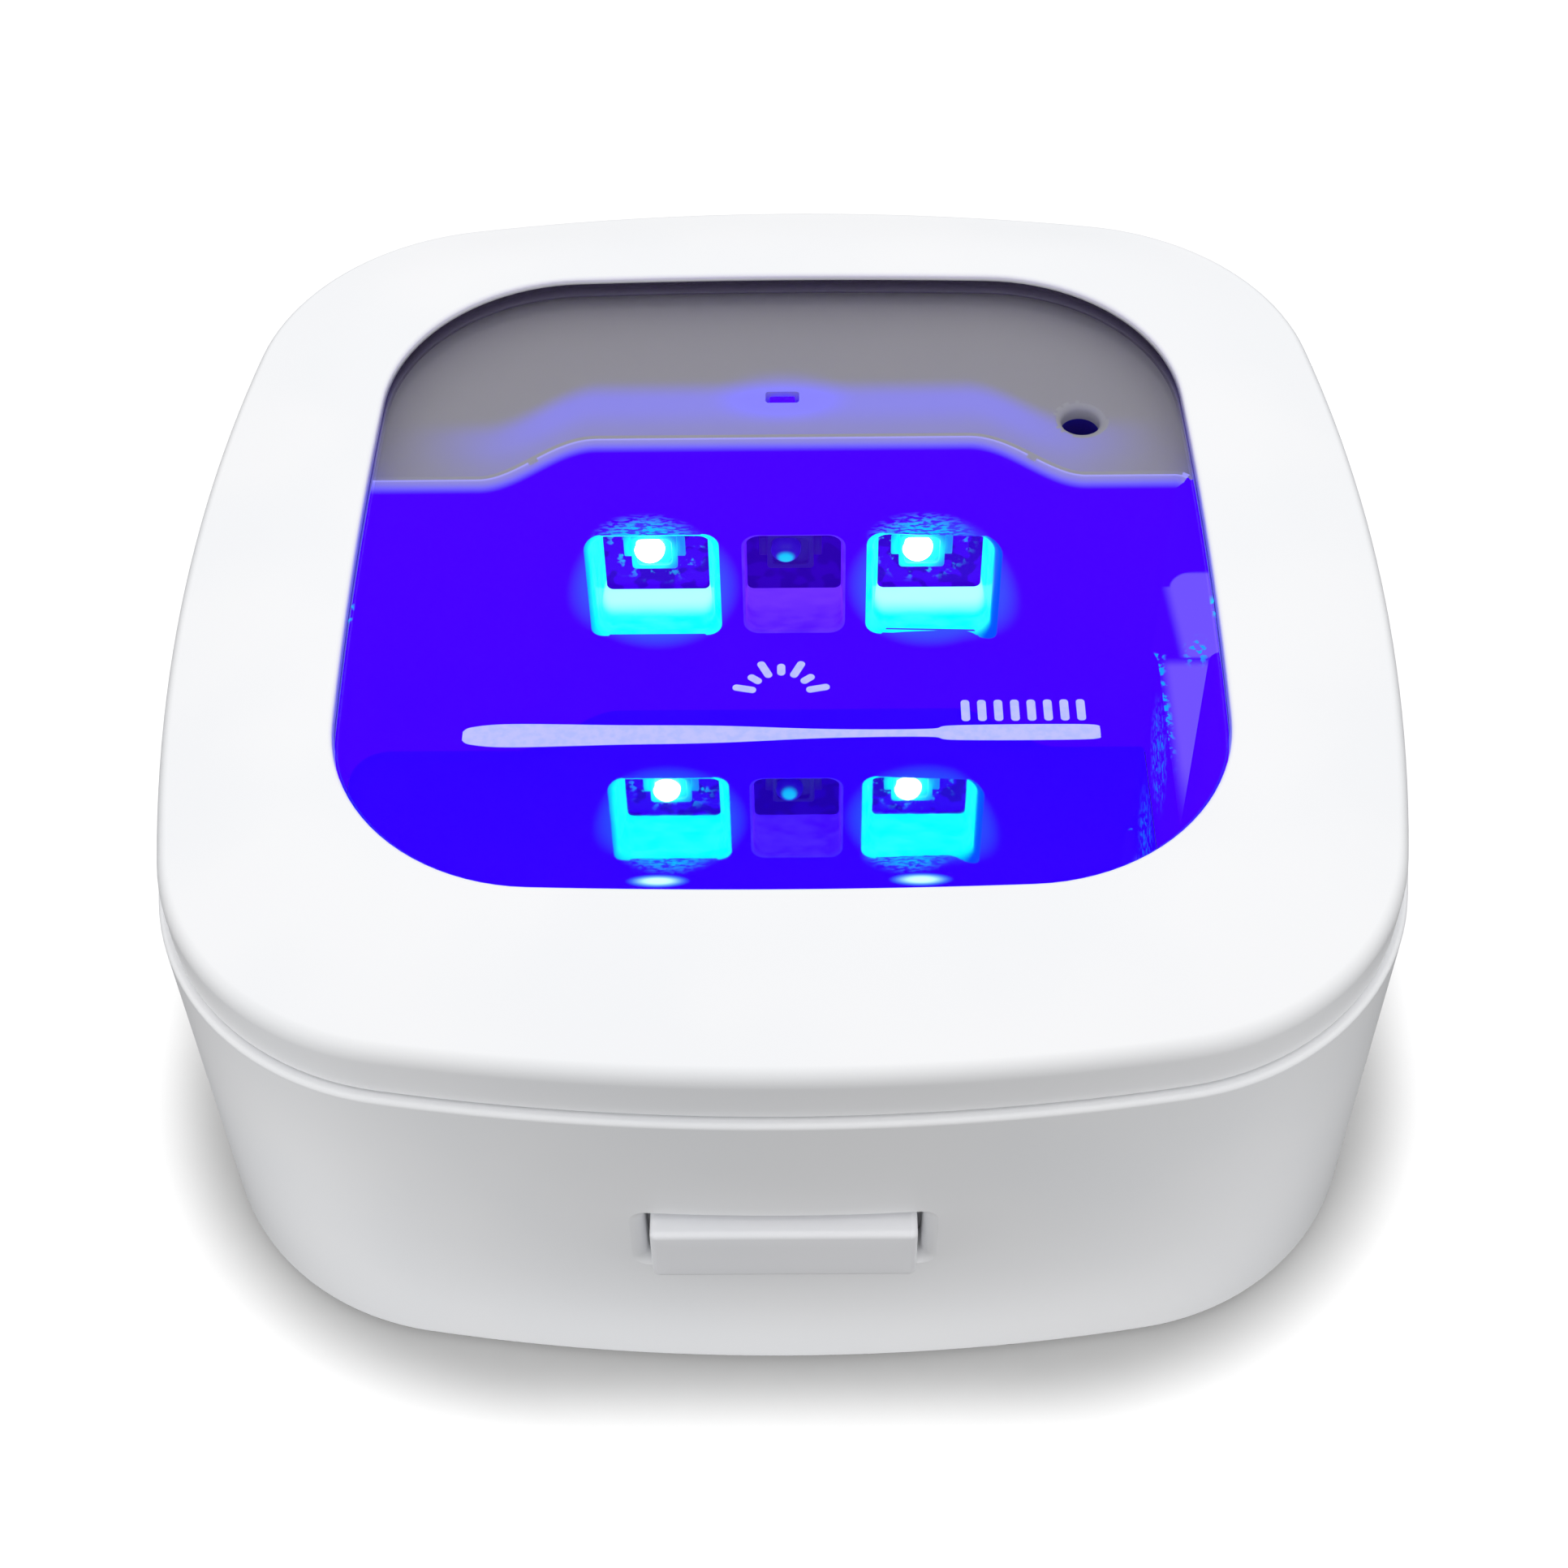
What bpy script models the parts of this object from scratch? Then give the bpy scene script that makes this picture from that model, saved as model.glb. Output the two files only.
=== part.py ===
"""Palm-size toothbrush sanitizer: a round-cornered box with a hinged, windowed lid.

A brush head lies in the chamber and its neck leaves through a passage in the right wall.  Ultraviolet
lamps behind the chamber's rear wall light it over a mirror floor, and a button at the front lets the
lid's hook go.  Sizes are in millimetres here and become metres when a mesh is made.  +Z is up, the
button side faces -Y and the hinge side +Y.  The origin is on the table, under the centre of the base.
"""

import bmesh
import bpy
from math import atan2, cos, pi, radians, sin, sqrt
from mathutils import Matrix, Vector

MM = 0.001
GAP = 0.3

# Outlines: a square with bowed sides, and its round corners
BASE_HALF = 40.0
SIDE_RADIUS = 142.0
CORNER_RADIUS = 18.0
LID_STEP_IN = 0.55
SIDE_STEPS = 8
CORNER_STEPS = 8
WINDOW_HALF = 28.0
WINDOW_SIDE_RADIUS = 400.0
WINDOW_CORNER = 13.4
WINDOW_STRETCH = 1.014
WINDOW_Y = 1.2

# Heights above the table
FOOT_DROP = 0.5
FLOOR_Z = 3.0
RIM_Z = 27.7
LID_LOW_Z = 28.0
SHELF_Z = 30.5
LID_SIDE_Z = 31.3
LID_SHOULDER_Z = 32.6
LID_TOP_Z = 33.4
PASSAGE_FLOOR_Z = 12.6
PASSAGE_TOP_Z = 21.6

# Walls
BASE_WALL = 2.0
LID_WALL = 1.6
LID_UNDER_Z = 31.8
COVER_THICK = 1.7
TRAY_INSET = BASE_WALL + 0.6
TRAY_LOW_Z = 2.5

# Chamber, seen from above
CHAMBER_LEFT = -33.5
CHAMBER_RIGHT = 27.6
CHAMBER_FRONT = -26.5
LAMP_WALL_SIDE_Y = 10.5
LAMP_WALL_MID_Y = 14.6
WAVE_INNER_X = 13.0
WAVE_OUTER_X = 21.0
PASSAGE_FRONT_Y = -5.8

# Lamp cups and the board behind them
CUP_PLACES = {-1: -9.65, 0: 0.7, 1: 10.95}
CUP_Z = 16.5
CUP_Y = (12.8, 18.95)
CUP_FRONT_SIZE = (10.9, 11.6)
CUP_BACK_SIZE = (7.65, 8.4)
MID_CUP_FRONT_SIZE = (7.7, 11.6)
MID_CUP_BACK_SIZE = (7.0, 8.4)
BAY_FRONT_Y = 18.6
BOARD_Y = (18.9, 20.1)
LAMP_PLACES = {-1: -9.75, 0: 0.45, 1: 10.3}
LAMP_Z = 16.65

# Hinge, button and latch
HINGE_Y = 39.4
HINGE_Z = 25.9
KNUCKLE_RADIUS = 1.7
BORE_RADIUS = 1.0
PIN_RADIUS = 0.7
LID_KNUCKLE_HALF = 10.0
BASE_KNUCKLE_LENGTH = 7.0
BUTTON_HALF = 8.0
BUTTON_Z = (13.2, 17.5)
BUTTON_PROUD = 1.6
FRONT_WALL_Y = -28.6
BAY_HALF = 22.0
BAY_Z = (6.0, 29.0)
HOOK_HALF = 3.5

# Small hardware
BOSS_AT = 29.9
BOSS_RADIUS = 3.0
HEAD_RADIUS = 1.55
SCREW_BORE_RADIUS = 1.0
TRAY_SCREW = (21.0, 16.8)
FOOT_AT = 24.0
FOOT_RADIUS = 3.5
BUMPER_X = 26.0
BUMPER_Y = -32.0
BUMPER_RADIUS = 1.5
MAGNET_PLACE = (18.0, -33.0)
MAGNET_RADIUS = 2.0
SOCKET_HALF = 4.5
SOCKET_Z = (7.3, 10.5)
CELL_Y = 27.4
CELL_Z = 19.4
CELL_RADIUS = 6.0
CELL_HALF = 20.0

scene = bpy.context.scene


def clear_scene():
    for item in list(bpy.data.objects):
        bpy.data.objects.remove(item, do_unlink=True)


def new_collection(name):
    group = bpy.data.collections.new(name)
    scene.collection.children.link(group)
    return group


clear_scene()
parts = new_collection("toothbrush_sanitizer")
cutters = new_collection("cutters")


# ---------------------------------------------------------------- materials

def material(name, colour, roughness, metallic=0.0, alpha=1.0):
    made = bpy.data.materials.new(name)
    made.use_nodes = True
    shader = made.node_tree.nodes["Principled BSDF"]
    shader.inputs["Base Color"].default_value = (*colour, 1.0)
    shader.inputs["Roughness"].default_value = roughness
    shader.inputs["Metallic"].default_value = metallic
    shader.inputs["Alpha"].default_value = alpha
    return made


WHITE = material("white_plastic", (0.88, 0.89, 0.90), 0.42)
TRAY_WHITE = material("tray_plastic", (0.80, 0.81, 0.84), 0.38)
CLEAR = material("clear_plastic", (0.93, 0.95, 0.98), 0.04, alpha=0.25)
MIRROR = material("mirror_foil", (0.90, 0.90, 0.92), 0.03, metallic=1.0)
BOARD = material("circuit_board", (0.02, 0.10, 0.07), 0.45)
CHIP = material("chip_resin", (0.02, 0.02, 0.022), 0.40)
CERAMIC = material("lamp_ceramic", (0.80, 0.78, 0.70), 0.35)
STEEL = material("steel", (0.62, 0.62, 0.64), 0.25, metallic=1.0)
CELL = material("cell_sleeve", (0.10, 0.28, 0.60), 0.35)
FOAM = material("grey_foam", (0.25, 0.25, 0.27), 0.90)
RUBBER = material("grey_rubber", (0.45, 0.46, 0.48), 0.75)
RED = material("red_insulation", (0.60, 0.03, 0.03), 0.45)
BLACK = material("black_insulation", (0.02, 0.02, 0.02), 0.45)


# ---------------------------------------------------------------- outlines

def outline(half, side_radius, corner_radius, inset=0.0, stretch=1.0, centre_y=0.0):
    """Closed outline, counter-clockwise, moved inwards by inset."""
    half, side_radius, corner_radius = half - inset, side_radius - inset, corner_radius - inset
    reach = side_radius - half
    corner = (sqrt(2 * (side_radius - corner_radius) ** 2 - reach ** 2) - reach) / 2
    sweep = atan2(corner, corner + reach)
    quarter = []
    for step in range(SIDE_STEPS):
        angle = sweep * (2 * step / SIDE_STEPS - 1)
        quarter.append((side_radius * cos(angle) - reach, side_radius * sin(angle)))
    for step in range(CORNER_STEPS):
        angle = sweep + (pi / 2 - 2 * sweep) * step / CORNER_STEPS
        quarter.append((corner + corner_radius * cos(angle), corner + corner_radius * sin(angle)))
    turns = [Matrix.Rotation(turn * pi / 2, 2) for turn in range(4)]
    points = [turn @ Vector(point) for turn in turns for point in quarter]
    return [(x, y * stretch + centre_y) for x, y in points]


def base_outline(inset=0.0):
    return outline(BASE_HALF, SIDE_RADIUS, CORNER_RADIUS, inset)


def lid_outline(inset=0.0):
    return base_outline(inset + LID_STEP_IN)


def window_outline(inset=0.0):
    return outline(
        WINDOW_HALF, WINDOW_SIDE_RADIUS, WINDOW_CORNER, inset, WINDOW_STRETCH, WINDOW_Y
    )


def blend_outlines(first, second, share):
    return [
        (a[0] + (b[0] - a[0]) * share, a[1] + (b[1] - a[1]) * share)
        for a, b in zip(first, second)
    ]


def corner_arc(centre_x, centre_y, radius, start, end, steps=6):
    """Points of one arc, with its angles in degrees."""
    angles = [radians(start + (end - start) * step / steps) for step in range(steps + 1)]
    return [(centre_x + radius * cos(a), centre_y + radius * sin(a)) for a in angles]


def lamp_wall_y(x):
    """The lamp wall swells back in a smooth wave in the middle of the chamber."""
    share = (WAVE_OUTER_X - abs(x)) / (WAVE_OUTER_X - WAVE_INNER_X)
    share = min(1.0, max(0.0, share))
    smooth = (1 - cos(pi * share)) / 2
    return LAMP_WALL_SIDE_Y + (LAMP_WALL_MID_Y - LAMP_WALL_SIDE_Y) * smooth


def chamber_outline():
    left_round, right_round, rear_round, wave_steps = 10.0, 4.0, 3.0, 10
    points = corner_arc(
        CHAMBER_LEFT + left_round, CHAMBER_FRONT + left_round, left_round, 180, 270
    )
    points += corner_arc(
        CHAMBER_RIGHT - right_round, CHAMBER_FRONT + right_round, right_round, 270, 360
    )
    points.append((CHAMBER_RIGHT, LAMP_WALL_SIDE_Y))
    wave = [
        WAVE_OUTER_X - (WAVE_OUTER_X - WAVE_INNER_X) * step / wave_steps
        for step in range(wave_steps + 1)
    ]
    points += [(x, lamp_wall_y(x)) for x in wave]
    points += [(-x, lamp_wall_y(x)) for x in reversed(wave)]
    points += corner_arc(
        CHAMBER_LEFT + rear_round, LAMP_WALL_SIDE_Y - rear_round, rear_round, 90, 180, 4
    )
    return points


# ---------------------------------------------------------------- solids

def add_mesh(name, mesh, skin=None, smooth_degrees=35):
    """Turns a bmesh in millimetres into a named object in metres."""
    bmesh.ops.recalc_face_normals(mesh, faces=mesh.faces)
    bmesh.ops.scale(mesh, vec=(MM, MM, MM), verts=mesh.verts)
    data = bpy.data.meshes.new(name)
    mesh.to_mesh(data)
    mesh.free()
    data.shade_smooth()
    data.set_sharp_from_angle(angle=radians(smooth_degrees))
    made = bpy.data.objects.new(name, data)
    parts.objects.link(made)
    if skin:
        data.materials.append(skin)
    return made


def curve_to_mesh(holder, skin=None):
    """Replaces a curve object by a welded mesh object of the same name and place."""
    bpy.context.view_layer.update()
    evaluated = holder.evaluated_get(bpy.context.evaluated_depsgraph_get())
    data = bpy.data.meshes.new_from_object(evaluated)
    name, place = holder.name, holder.matrix_world.copy()
    bpy.data.objects.remove(holder, do_unlink=True)
    welded = bmesh.new()
    welded.from_mesh(data)
    bmesh.ops.remove_doubles(welded, verts=welded.verts, dist=1e-6)
    bmesh.ops.recalc_face_normals(welded, faces=welded.faces)
    welded.to_mesh(data)
    welded.free()
    data.name = name
    data.materials.clear()
    if skin:
        data.materials.append(skin)
    made = bpy.data.objects.new(name, data)
    made.matrix_world = place
    parts.objects.link(made)
    return made


def plate(name, outlines, low, high, skin=None):
    """Flat piece between two heights.  The first outline is its edge and the others are holes."""
    curve = bpy.data.curves.new(name, "CURVE")
    curve.dimensions = "2D"
    curve.fill_mode = "BOTH"
    curve.extrude = (high - low) / 2 * MM
    for points in outlines:
        spline = curve.splines.new("POLY")
        spline.points.add(len(points) - 1)
        for point, (x, y) in zip(spline.points, points):
            point.co = (x * MM, y * MM, 0.0, 1.0)
        spline.use_cyclic_u = True
    holder = bpy.data.objects.new(name, curve)
    holder.location.z = (low + high) / 2 * MM
    parts.objects.link(holder)
    return curve_to_mesh(holder, skin)


def loft(name, rings, skin=None):
    """Ring-shaped shell through a closed loop of (outline, height) rings of unlike shape."""
    mesh = bmesh.new()
    loops = [[mesh.verts.new((x, y, z)) for x, y in points] for points, z in rings]
    for low, high in zip(loops, loops[1:] + loops[:1]):
        for i in range(len(low)):
            j = (i + 1) % len(low)
            mesh.faces.new((low[i], low[j], high[j], high[i]))
    return add_mesh(name, mesh, skin)


def block(name, x, y, z, skin=None, rounding=0.0, along=None):
    """Box between two corners.  Edges that run along one axis, or all of them, can be rounded."""
    mesh = bmesh.new()
    size = Vector((x[1] - x[0], y[1] - y[0], z[1] - z[0]))
    middle = Vector((x[0] + x[1], y[0] + y[1], z[0] + z[1])) / 2
    place = Matrix.Translation(middle) @ Matrix.Diagonal((*size, 1.0))
    bmesh.ops.create_cube(mesh, size=1.0, matrix=place)
    if rounding:
        axis = "XYZ".find(along) if along else None
        edges = [
            edge for edge in mesh.edges
            if axis is None or abs((edge.verts[0].co - edge.verts[1].co)[axis]) > 1e-6
        ]
        bmesh.ops.bevel(
            mesh, geom=edges, offset=rounding, segments=3, profile=0.5, affect="EDGES"
        )
    return add_mesh(name, mesh, skin)


def rod(name, centre, radius, length, along="Z", skin=None, sides=20, far_radius=None):
    """Cylinder, or cone, whose middle is at centre."""
    mesh = bmesh.new()
    facing = {
        "X": Matrix.Rotation(pi / 2, 4, "Y"),
        "Y": Matrix.Rotation(-pi / 2, 4, "X"),
        "Z": Matrix.Identity(4),
    }[along]
    bmesh.ops.create_cone(
        mesh,
        cap_ends=True,
        segments=sides,
        radius1=radius,
        radius2=radius if far_radius is None else far_radius,
        depth=length,
        matrix=Matrix.Translation(Vector(centre)) @ facing,
    )
    return add_mesh(name, mesh, skin)


def post(name, place, radius, z, skin=None, sides=16):
    """Upright cylinder between two heights."""
    return rod(name, (*place, sum(z) / 2), radius, z[1] - z[0], "Z", skin, sides)


def spread(span, extra):
    """A span that is longer by extra at both ends."""
    return (span[0] - extra, span[1] + extra)


def both_ways(half):
    return (-half, half)


def funnel(name, centre, front, back, y_front, y_back):
    """Four-sided cup that narrows along +Y, for cutting."""
    made = block(name, (-0.5, 0.5), (-0.5, 0.5), (-0.5, 0.5))
    for vertex in made.data.vertices:
        is_front = vertex.co.y < 0
        width, height = front if is_front else back
        vertex.co = Vector((
            (centre[0] + (1 if vertex.co.x > 0 else -1) * width / 2) * MM,
            (y_front if is_front else y_back) * MM,
            (centre[1] + (1 if vertex.co.z > 0 else -1) * height / 2) * MM,
        ))
    return made


def wire(name, points, radius, skin, resolution=2):
    """Round wire with capped ends along a list of points."""
    curve = bpy.data.curves.new(name, "CURVE")
    curve.dimensions = "3D"
    curve.bevel_depth = radius * MM
    curve.bevel_resolution = resolution
    curve.use_fill_caps = True
    spline = curve.splines.new("POLY")
    spline.points.add(len(points) - 1)
    for point, place in zip(spline.points, points):
        point.co = (*(Vector(place) * MM), 1.0)
    holder = bpy.data.objects.new(name, curve)
    parts.objects.link(holder)
    return curve_to_mesh(holder, skin)


def smooth_path(points, steps=4):
    """Catmull-Rom curve through a few points."""
    padded = [points[0], *points, points[-1]]
    path = []
    for i in range(len(points) - 1):
        a, b, c, d = (Vector(p) for p in padded[i:i + 4])
        for step in range(steps):
            t = step / steps
            path.append(
                0.5 * (2 * b + (c - a) * t + (2 * a - 5 * b + 4 * c - d) * t ** 2
                       + (3 * b - a - 3 * c + d) * t ** 3)
            )
    path.append(Vector(points[-1]))
    return path


def boolean(target, tool, operation="DIFFERENCE"):
    modifier = target.modifiers.new(tool.name, "BOOLEAN")
    modifier.operation = operation
    modifier.solver = "EXACT"
    modifier.object = tool
    parts.objects.unlink(tool)
    cutters.objects.link(tool)
    tool.hide_render = True
    tool.display_type = "WIRE"


def join(target, tool):
    boolean(target, tool, "UNION")


def corners(distance):
    """The four corner places, with a name for each."""
    sides = {"front_left": (-1, -1), "front_right": (1, -1), "rear_left": (-1, 1), "rear_right": (1, 1)}
    return {name: (x * distance, y * distance) for name, (x, y) in sides.items()}


# ---------------------------------------------------------------- base

def make_base_shell():
    edge, step = 0.75, 0.35
    rings = [
        (base_outline(step), FOOT_DROP),
        (base_outline(), FOOT_DROP + step),
        (base_outline(), RIM_Z - edge),
        (base_outline(edge * 0.3), RIM_Z - edge * 0.3),
        (base_outline(edge), RIM_Z),
        (base_outline(BASE_WALL), RIM_Z),
        (base_outline(BASE_WALL), FOOT_DROP),
    ]
    shell = loft("base_shell", rings, WHITE)
    for name, place in corners(BOSS_AT).items():
        join(shell, post(f"boss_{name}", place, BOSS_RADIUS, (2.5, 11.9)))
    add_base_knuckles(shell)
    through_wall = (36.0, 42.0)
    passage_y = (PASSAGE_FRONT_Y, LAMP_WALL_SIDE_Y)
    boolean(shell, block("neck_notch", through_wall, passage_y, (PASSAGE_FLOOR_Z, RIM_Z + 2.3)))
    cut_button_hole(shell)
    socket_x, socket_z = both_ways(SOCKET_HALF + 0.4), spread(SOCKET_Z, 0.4)
    boolean(shell, block("socket_hole", socket_x, through_wall, socket_z, rounding=1.6, along="Y"))
    for name, place in corners(BOSS_AT).items():
        boolean(shell, post(f"boss_bore_{name}", place, SCREW_BORE_RADIUS, (0.5, 9.5), sides=12))


def add_base_knuckles(shell):
    """Two hinge knuckles on the rear rim, with room between them for the lid's."""
    gap_half, bore_length = LID_KNUCKLE_HALF + GAP, 34.9
    middle = gap_half + BASE_KNUCKLE_LENGTH / 2
    for side in (-1, 1):
        knuckle = (side * middle, HINGE_Y, HINGE_Z)
        join(shell, rod(f"base_knuckle{side}", knuckle, KNUCKLE_RADIUS, BASE_KNUCKLE_LENGTH, "X"))
    room_y, room_z = (HINGE_Y - 2.4, HINGE_Y + 3.6), (HINGE_Z - 2.1, HINGE_Z + 2.7)
    boolean(shell, block("hinge_gap", both_ways(gap_half), room_y, room_z))
    boolean(shell, rod("base_bore", (0, HINGE_Y, HINGE_Z), BORE_RADIUS, bore_length, "X"))


def cut_button_hole(shell):
    hole_half, rise, flare = BUTTON_HALF + 0.35, 0.35, 0.9
    hole_z = spread(BUTTON_Z, rise)
    boolean(shell, block(
        "button_hole", both_ways(hole_half), (-43.0, -36.0), hole_z, rounding=0.8, along="Y"
    ))
    height = hole_z[1] - hole_z[0]
    boolean(shell, funnel(
        "button_flare",
        (0.0, sum(hole_z) / 2),
        (2 * (hole_half + flare * 1.5), height + flare * 1.6),
        (2 * hole_half - 0.6, height - 0.6),
        -BASE_HALF - 0.45,
        -BASE_HALF + 1.0,
    ))


def make_bottom_cover():
    low, high = FOOT_DROP, FOOT_DROP + COVER_THICK
    cover = plate("bottom_cover", [base_outline(BASE_WALL + GAP)], low, high, WHITE)
    for name, place in corners(BOSS_AT).items():
        boolean(cover, post(f"head_recess_{name}", place, HEAD_RADIUS + 0.35, (0.2, 1.6)))
        boolean(cover, post(f"cover_bore_{name}", place, SCREW_BORE_RADIUS, (0.7, 3.1)))
    for name, place in corners(FOOT_AT).items():
        boolean(cover, post(f"foot_recess_{name}", place, FOOT_RADIUS + GAP, (0.1, 1.1), sides=24))


def make_feet_and_cover_screws():
    head_z, slot_z, slot_half, slot_length = (0.6, 1.3), (0.4, 0.9), 0.25, 1.0
    for name, place in corners(FOOT_AT).items():
        post(f"foot_{name}", place, FOOT_RADIUS, (0.0, 0.8), RUBBER, 24)
    for name, (x, y) in corners(BOSS_AT).items():
        screw = post(f"cover_screw_{name}", (x, y), HEAD_RADIUS, head_z, STEEL)
        join(screw, post(f"cover_shank_{name}", (x, y), 0.7, (1.0, 9.0), sides=12))
        slot_x, slot_y = (x - slot_length, x + slot_length), (y - slot_half, y + slot_half)
        boolean(screw, block(f"screw_slot_{name}", slot_x, slot_y, slot_z))


def make_chamber_tray():
    """White inner body: chamber walls, lamp cups, shelf and the bays for the electronics and latch."""
    below, above, bay_side_x, rear_wall = 1.5, SHELF_Z + 1.5, 33.0, 1.6
    tray = plate("chamber_tray", [base_outline(TRAY_INSET)], TRAY_LOW_Z, SHELF_Z, TRAY_WHITE)
    boolean(tray, plate("chamber_space", [chamber_outline()], below, above))
    rear = [(x, y) for x, y in base_outline(TRAY_INSET + rear_wall) if y > BAY_FRONT_Y]
    rear += [(-bay_side_x, BAY_FRONT_Y), (bay_side_x, BAY_FRONT_Y)]
    boolean(tray, plate("electronics_bay", [rear], below, BAY_Z[1]))
    boolean(tray, block("latch_bay", both_ways(BAY_HALF), (-39.0, FRONT_WALL_Y), BAY_Z))
    hook_x = both_ways(HOOK_HALF + 0.7)
    boolean(tray, block("hook_slot", hook_x, (-39.5, -34.6), (BAY_Z[1] - 1.0, SHELF_Z + 2.0)))
    passage_x, passage_y = (CHAMBER_RIGHT - 0.6, 39.5), (PASSAGE_FRONT_Y, LAMP_WALL_SIDE_Y)
    boolean(tray, block("neck_passage", passage_x, passage_y, (PASSAGE_FLOOR_Z, SHELF_Z + 2.5)))
    for side, x in CUP_PLACES.items():
        front, back = (
            (CUP_FRONT_SIZE, CUP_BACK_SIZE) if side else (MID_CUP_FRONT_SIZE, MID_CUP_BACK_SIZE)
        )
        boolean(tray, funnel(f"lamp_cup{side}", (x, CUP_Z), front, back, *CUP_Y))
    cut_tray_recesses(tray)


def cut_tray_recesses(tray):
    """Small openings of the tray: light slit, screw hole, socket way, boss rooms and bumper seats."""
    boolean(tray, block("light_slit", both_ways(1.2), (18.8, 20.0), (28.0, 32.6)))
    boolean(tray, post("screw_recess", TRAY_SCREW, 1.4, (24.0, 32.0), sides=20))
    boolean(tray, post("screw_pilot", TRAY_SCREW, 0.85, (16.4, 24.6), sides=12))
    boolean(tray, block("socket_way", both_ways(SOCKET_HALF + 0.5), (35.0, 39.2), (1.2, 11.2)))
    for name, place in corners(BOSS_AT).items():
        boolean(tray, post(f"boss_room_{name}", place, BOSS_RADIUS + 0.35, (1.5, 12.5)))
    for side in (-1, 1):
        seat = (side * BUMPER_X, BUMPER_Y)
        boolean(tray, post(f"bumper_recess{side}", seat, BUMPER_RADIUS + GAP, (30.0, 31.2)))


def make_reflector_plate():
    low = FLOOR_Z - 0.5
    middle_x = (CHAMBER_LEFT + CHAMBER_RIGHT) / 2
    middle_y = (CHAMBER_FRONT + LAMP_WALL_MID_Y) / 2
    width_share, depth_share = 0.985, 0.975
    inset = [
        (middle_x + (x - middle_x) * width_share, middle_y + (y - middle_y) * depth_share)
        for x, y in chamber_outline()
    ]
    plate("reflector_plate", [inset], low, FLOOR_Z, MIRROR)


# ---------------------------------------------------------------- electronics

def make_lamp(name, x, half, lens_radii, lens_y):
    """Square lamp body with a round lens that widens towards its base."""
    body_y = (17.9, BAY_FRONT_Y)
    body = block(name, (x - half, x + half), body_y, (LAMP_Z - half, LAMP_Z + half), CERAMIC)
    tip, foot = lens_radii
    middle, length = sum(lens_y) / 2, lens_y[1] - lens_y[0]
    join(body, rod(f"{name}_lens", (x, middle, LAMP_Z), tip, length, "Y", far_radius=foot))


def make_lamps():
    block("led_board", both_ways(18.0), BOARD_Y, (5.0, 27.0), BOARD)
    make_lamp("uv_led_left", LAMP_PLACES[-1], 1.7, (1.0, 1.25), (17.2, 18.1))
    make_lamp("uv_led_right", LAMP_PLACES[1], 1.7, (1.0, 1.25), (17.2, 18.1))
    make_lamp("uvc_led", LAMP_PLACES[0], 1.75, (1.25, 1.45), (17.2, 18.0))
    block("status_led", both_ways(0.8), (19.0, 20.0), (27.3, 28.1), CERAMIC)
    block("light_pipe", both_ways(0.9), (19.1, 19.7), (28.4, SHELF_Z - 0.15), CLEAR)


def make_boards():
    board_z, board_back = (5.8, 7.0), BOARD_Y[1] + GAP
    block("mcu_chip", (-6.0, 0.0), (board_back, board_back + 0.9), (6.5, 11.5), CHIP)
    rod("choke_coil", (9.0, board_back + 0.55, 10.0), 2.0, 1.1, "Y", CHIP)
    block("charge_board", both_ways(11.0), (22.0, 34.8), board_z, BOARD)
    block("charger_chip", (-9.5, -6.5), (25.0, 28.0), (board_z[1] + GAP, board_z[1] + 1.2), CHIP)
    make_socket()
    block("hall_sensor", (16.5, 20.0), (-34.5, -31.0), (27.4, 28.7), CHIP)


def make_socket():
    """Charging inlet in the rear wall, with its tongue."""
    wall = 0.4
    socket = block("usb_socket", both_ways(SOCKET_HALF), (30.9, 39.2), SOCKET_Z, STEEL, 1.2, "Y")
    mouth_x, mouth_z = both_ways(SOCKET_HALF - wall), spread(SOCKET_Z, -wall)
    boolean(socket, block("socket_mouth", mouth_x, (33.0, 40.0), mouth_z, rounding=0.9, along="Y"))
    join(socket, block("socket_tongue", both_ways(3.2), (32.5, 38.6), (8.6, 9.2)))


def make_power():
    y, z, radius = CELL_Y, CELL_Z, CELL_RADIUS
    cell = rod("battery_cell", (0, y, z), radius, 2 * CELL_HALF, "X", CELL, 24)
    join(cell, rod("cell_button", (CELL_HALF + 0.4, y, z), 2.2, 1.6, "X"))
    cradle = block("battery_cradle", both_ways(16.0), spread((y, y), 5.5), (11.1, 16.0), TRAY_WHITE)
    boolean(cradle, rod("cradle_seat", (0, y, z), radius + GAP, 60.0, "X", sides=24))
    pad_z = (z + radius + GAP, BAY_Z[1] - GAP)
    block("battery_pad", both_ways(12.0), spread((y, y), 3.5), pad_z, FOAM)


def make_leads():
    """Battery leads and the cable between the two boards."""
    for name, lift, skin in (("battery_lead_red", 0.0, RED), ("battery_lead_black", -1.8, BLACK)):
        route = smooth_path([
            (-20.8, 27.0, 19.0 + lift), (-22.4, 26.0, 18.6 + lift), (-22.8, 23.4, 16.5 + lift),
            (-20.4, 21.3, 14.6 + lift), (-17.0, 20.95, 13.6 + lift), (-14.0, 20.95, 13.2 + lift),
        ])
        wire(name, route, 0.45, skin)
    wire("board_cable", smooth_path([
        (13.5, 20.9, 9.0), (13.6, 22.0, 9.2), (13.2, 24.0, 9.3), (11.5, 25.4, 8.9), (9.5, 25.6, 8.2),
        (8.8, 25.6, 7.8),
    ]), 0.5, BLACK)


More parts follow.
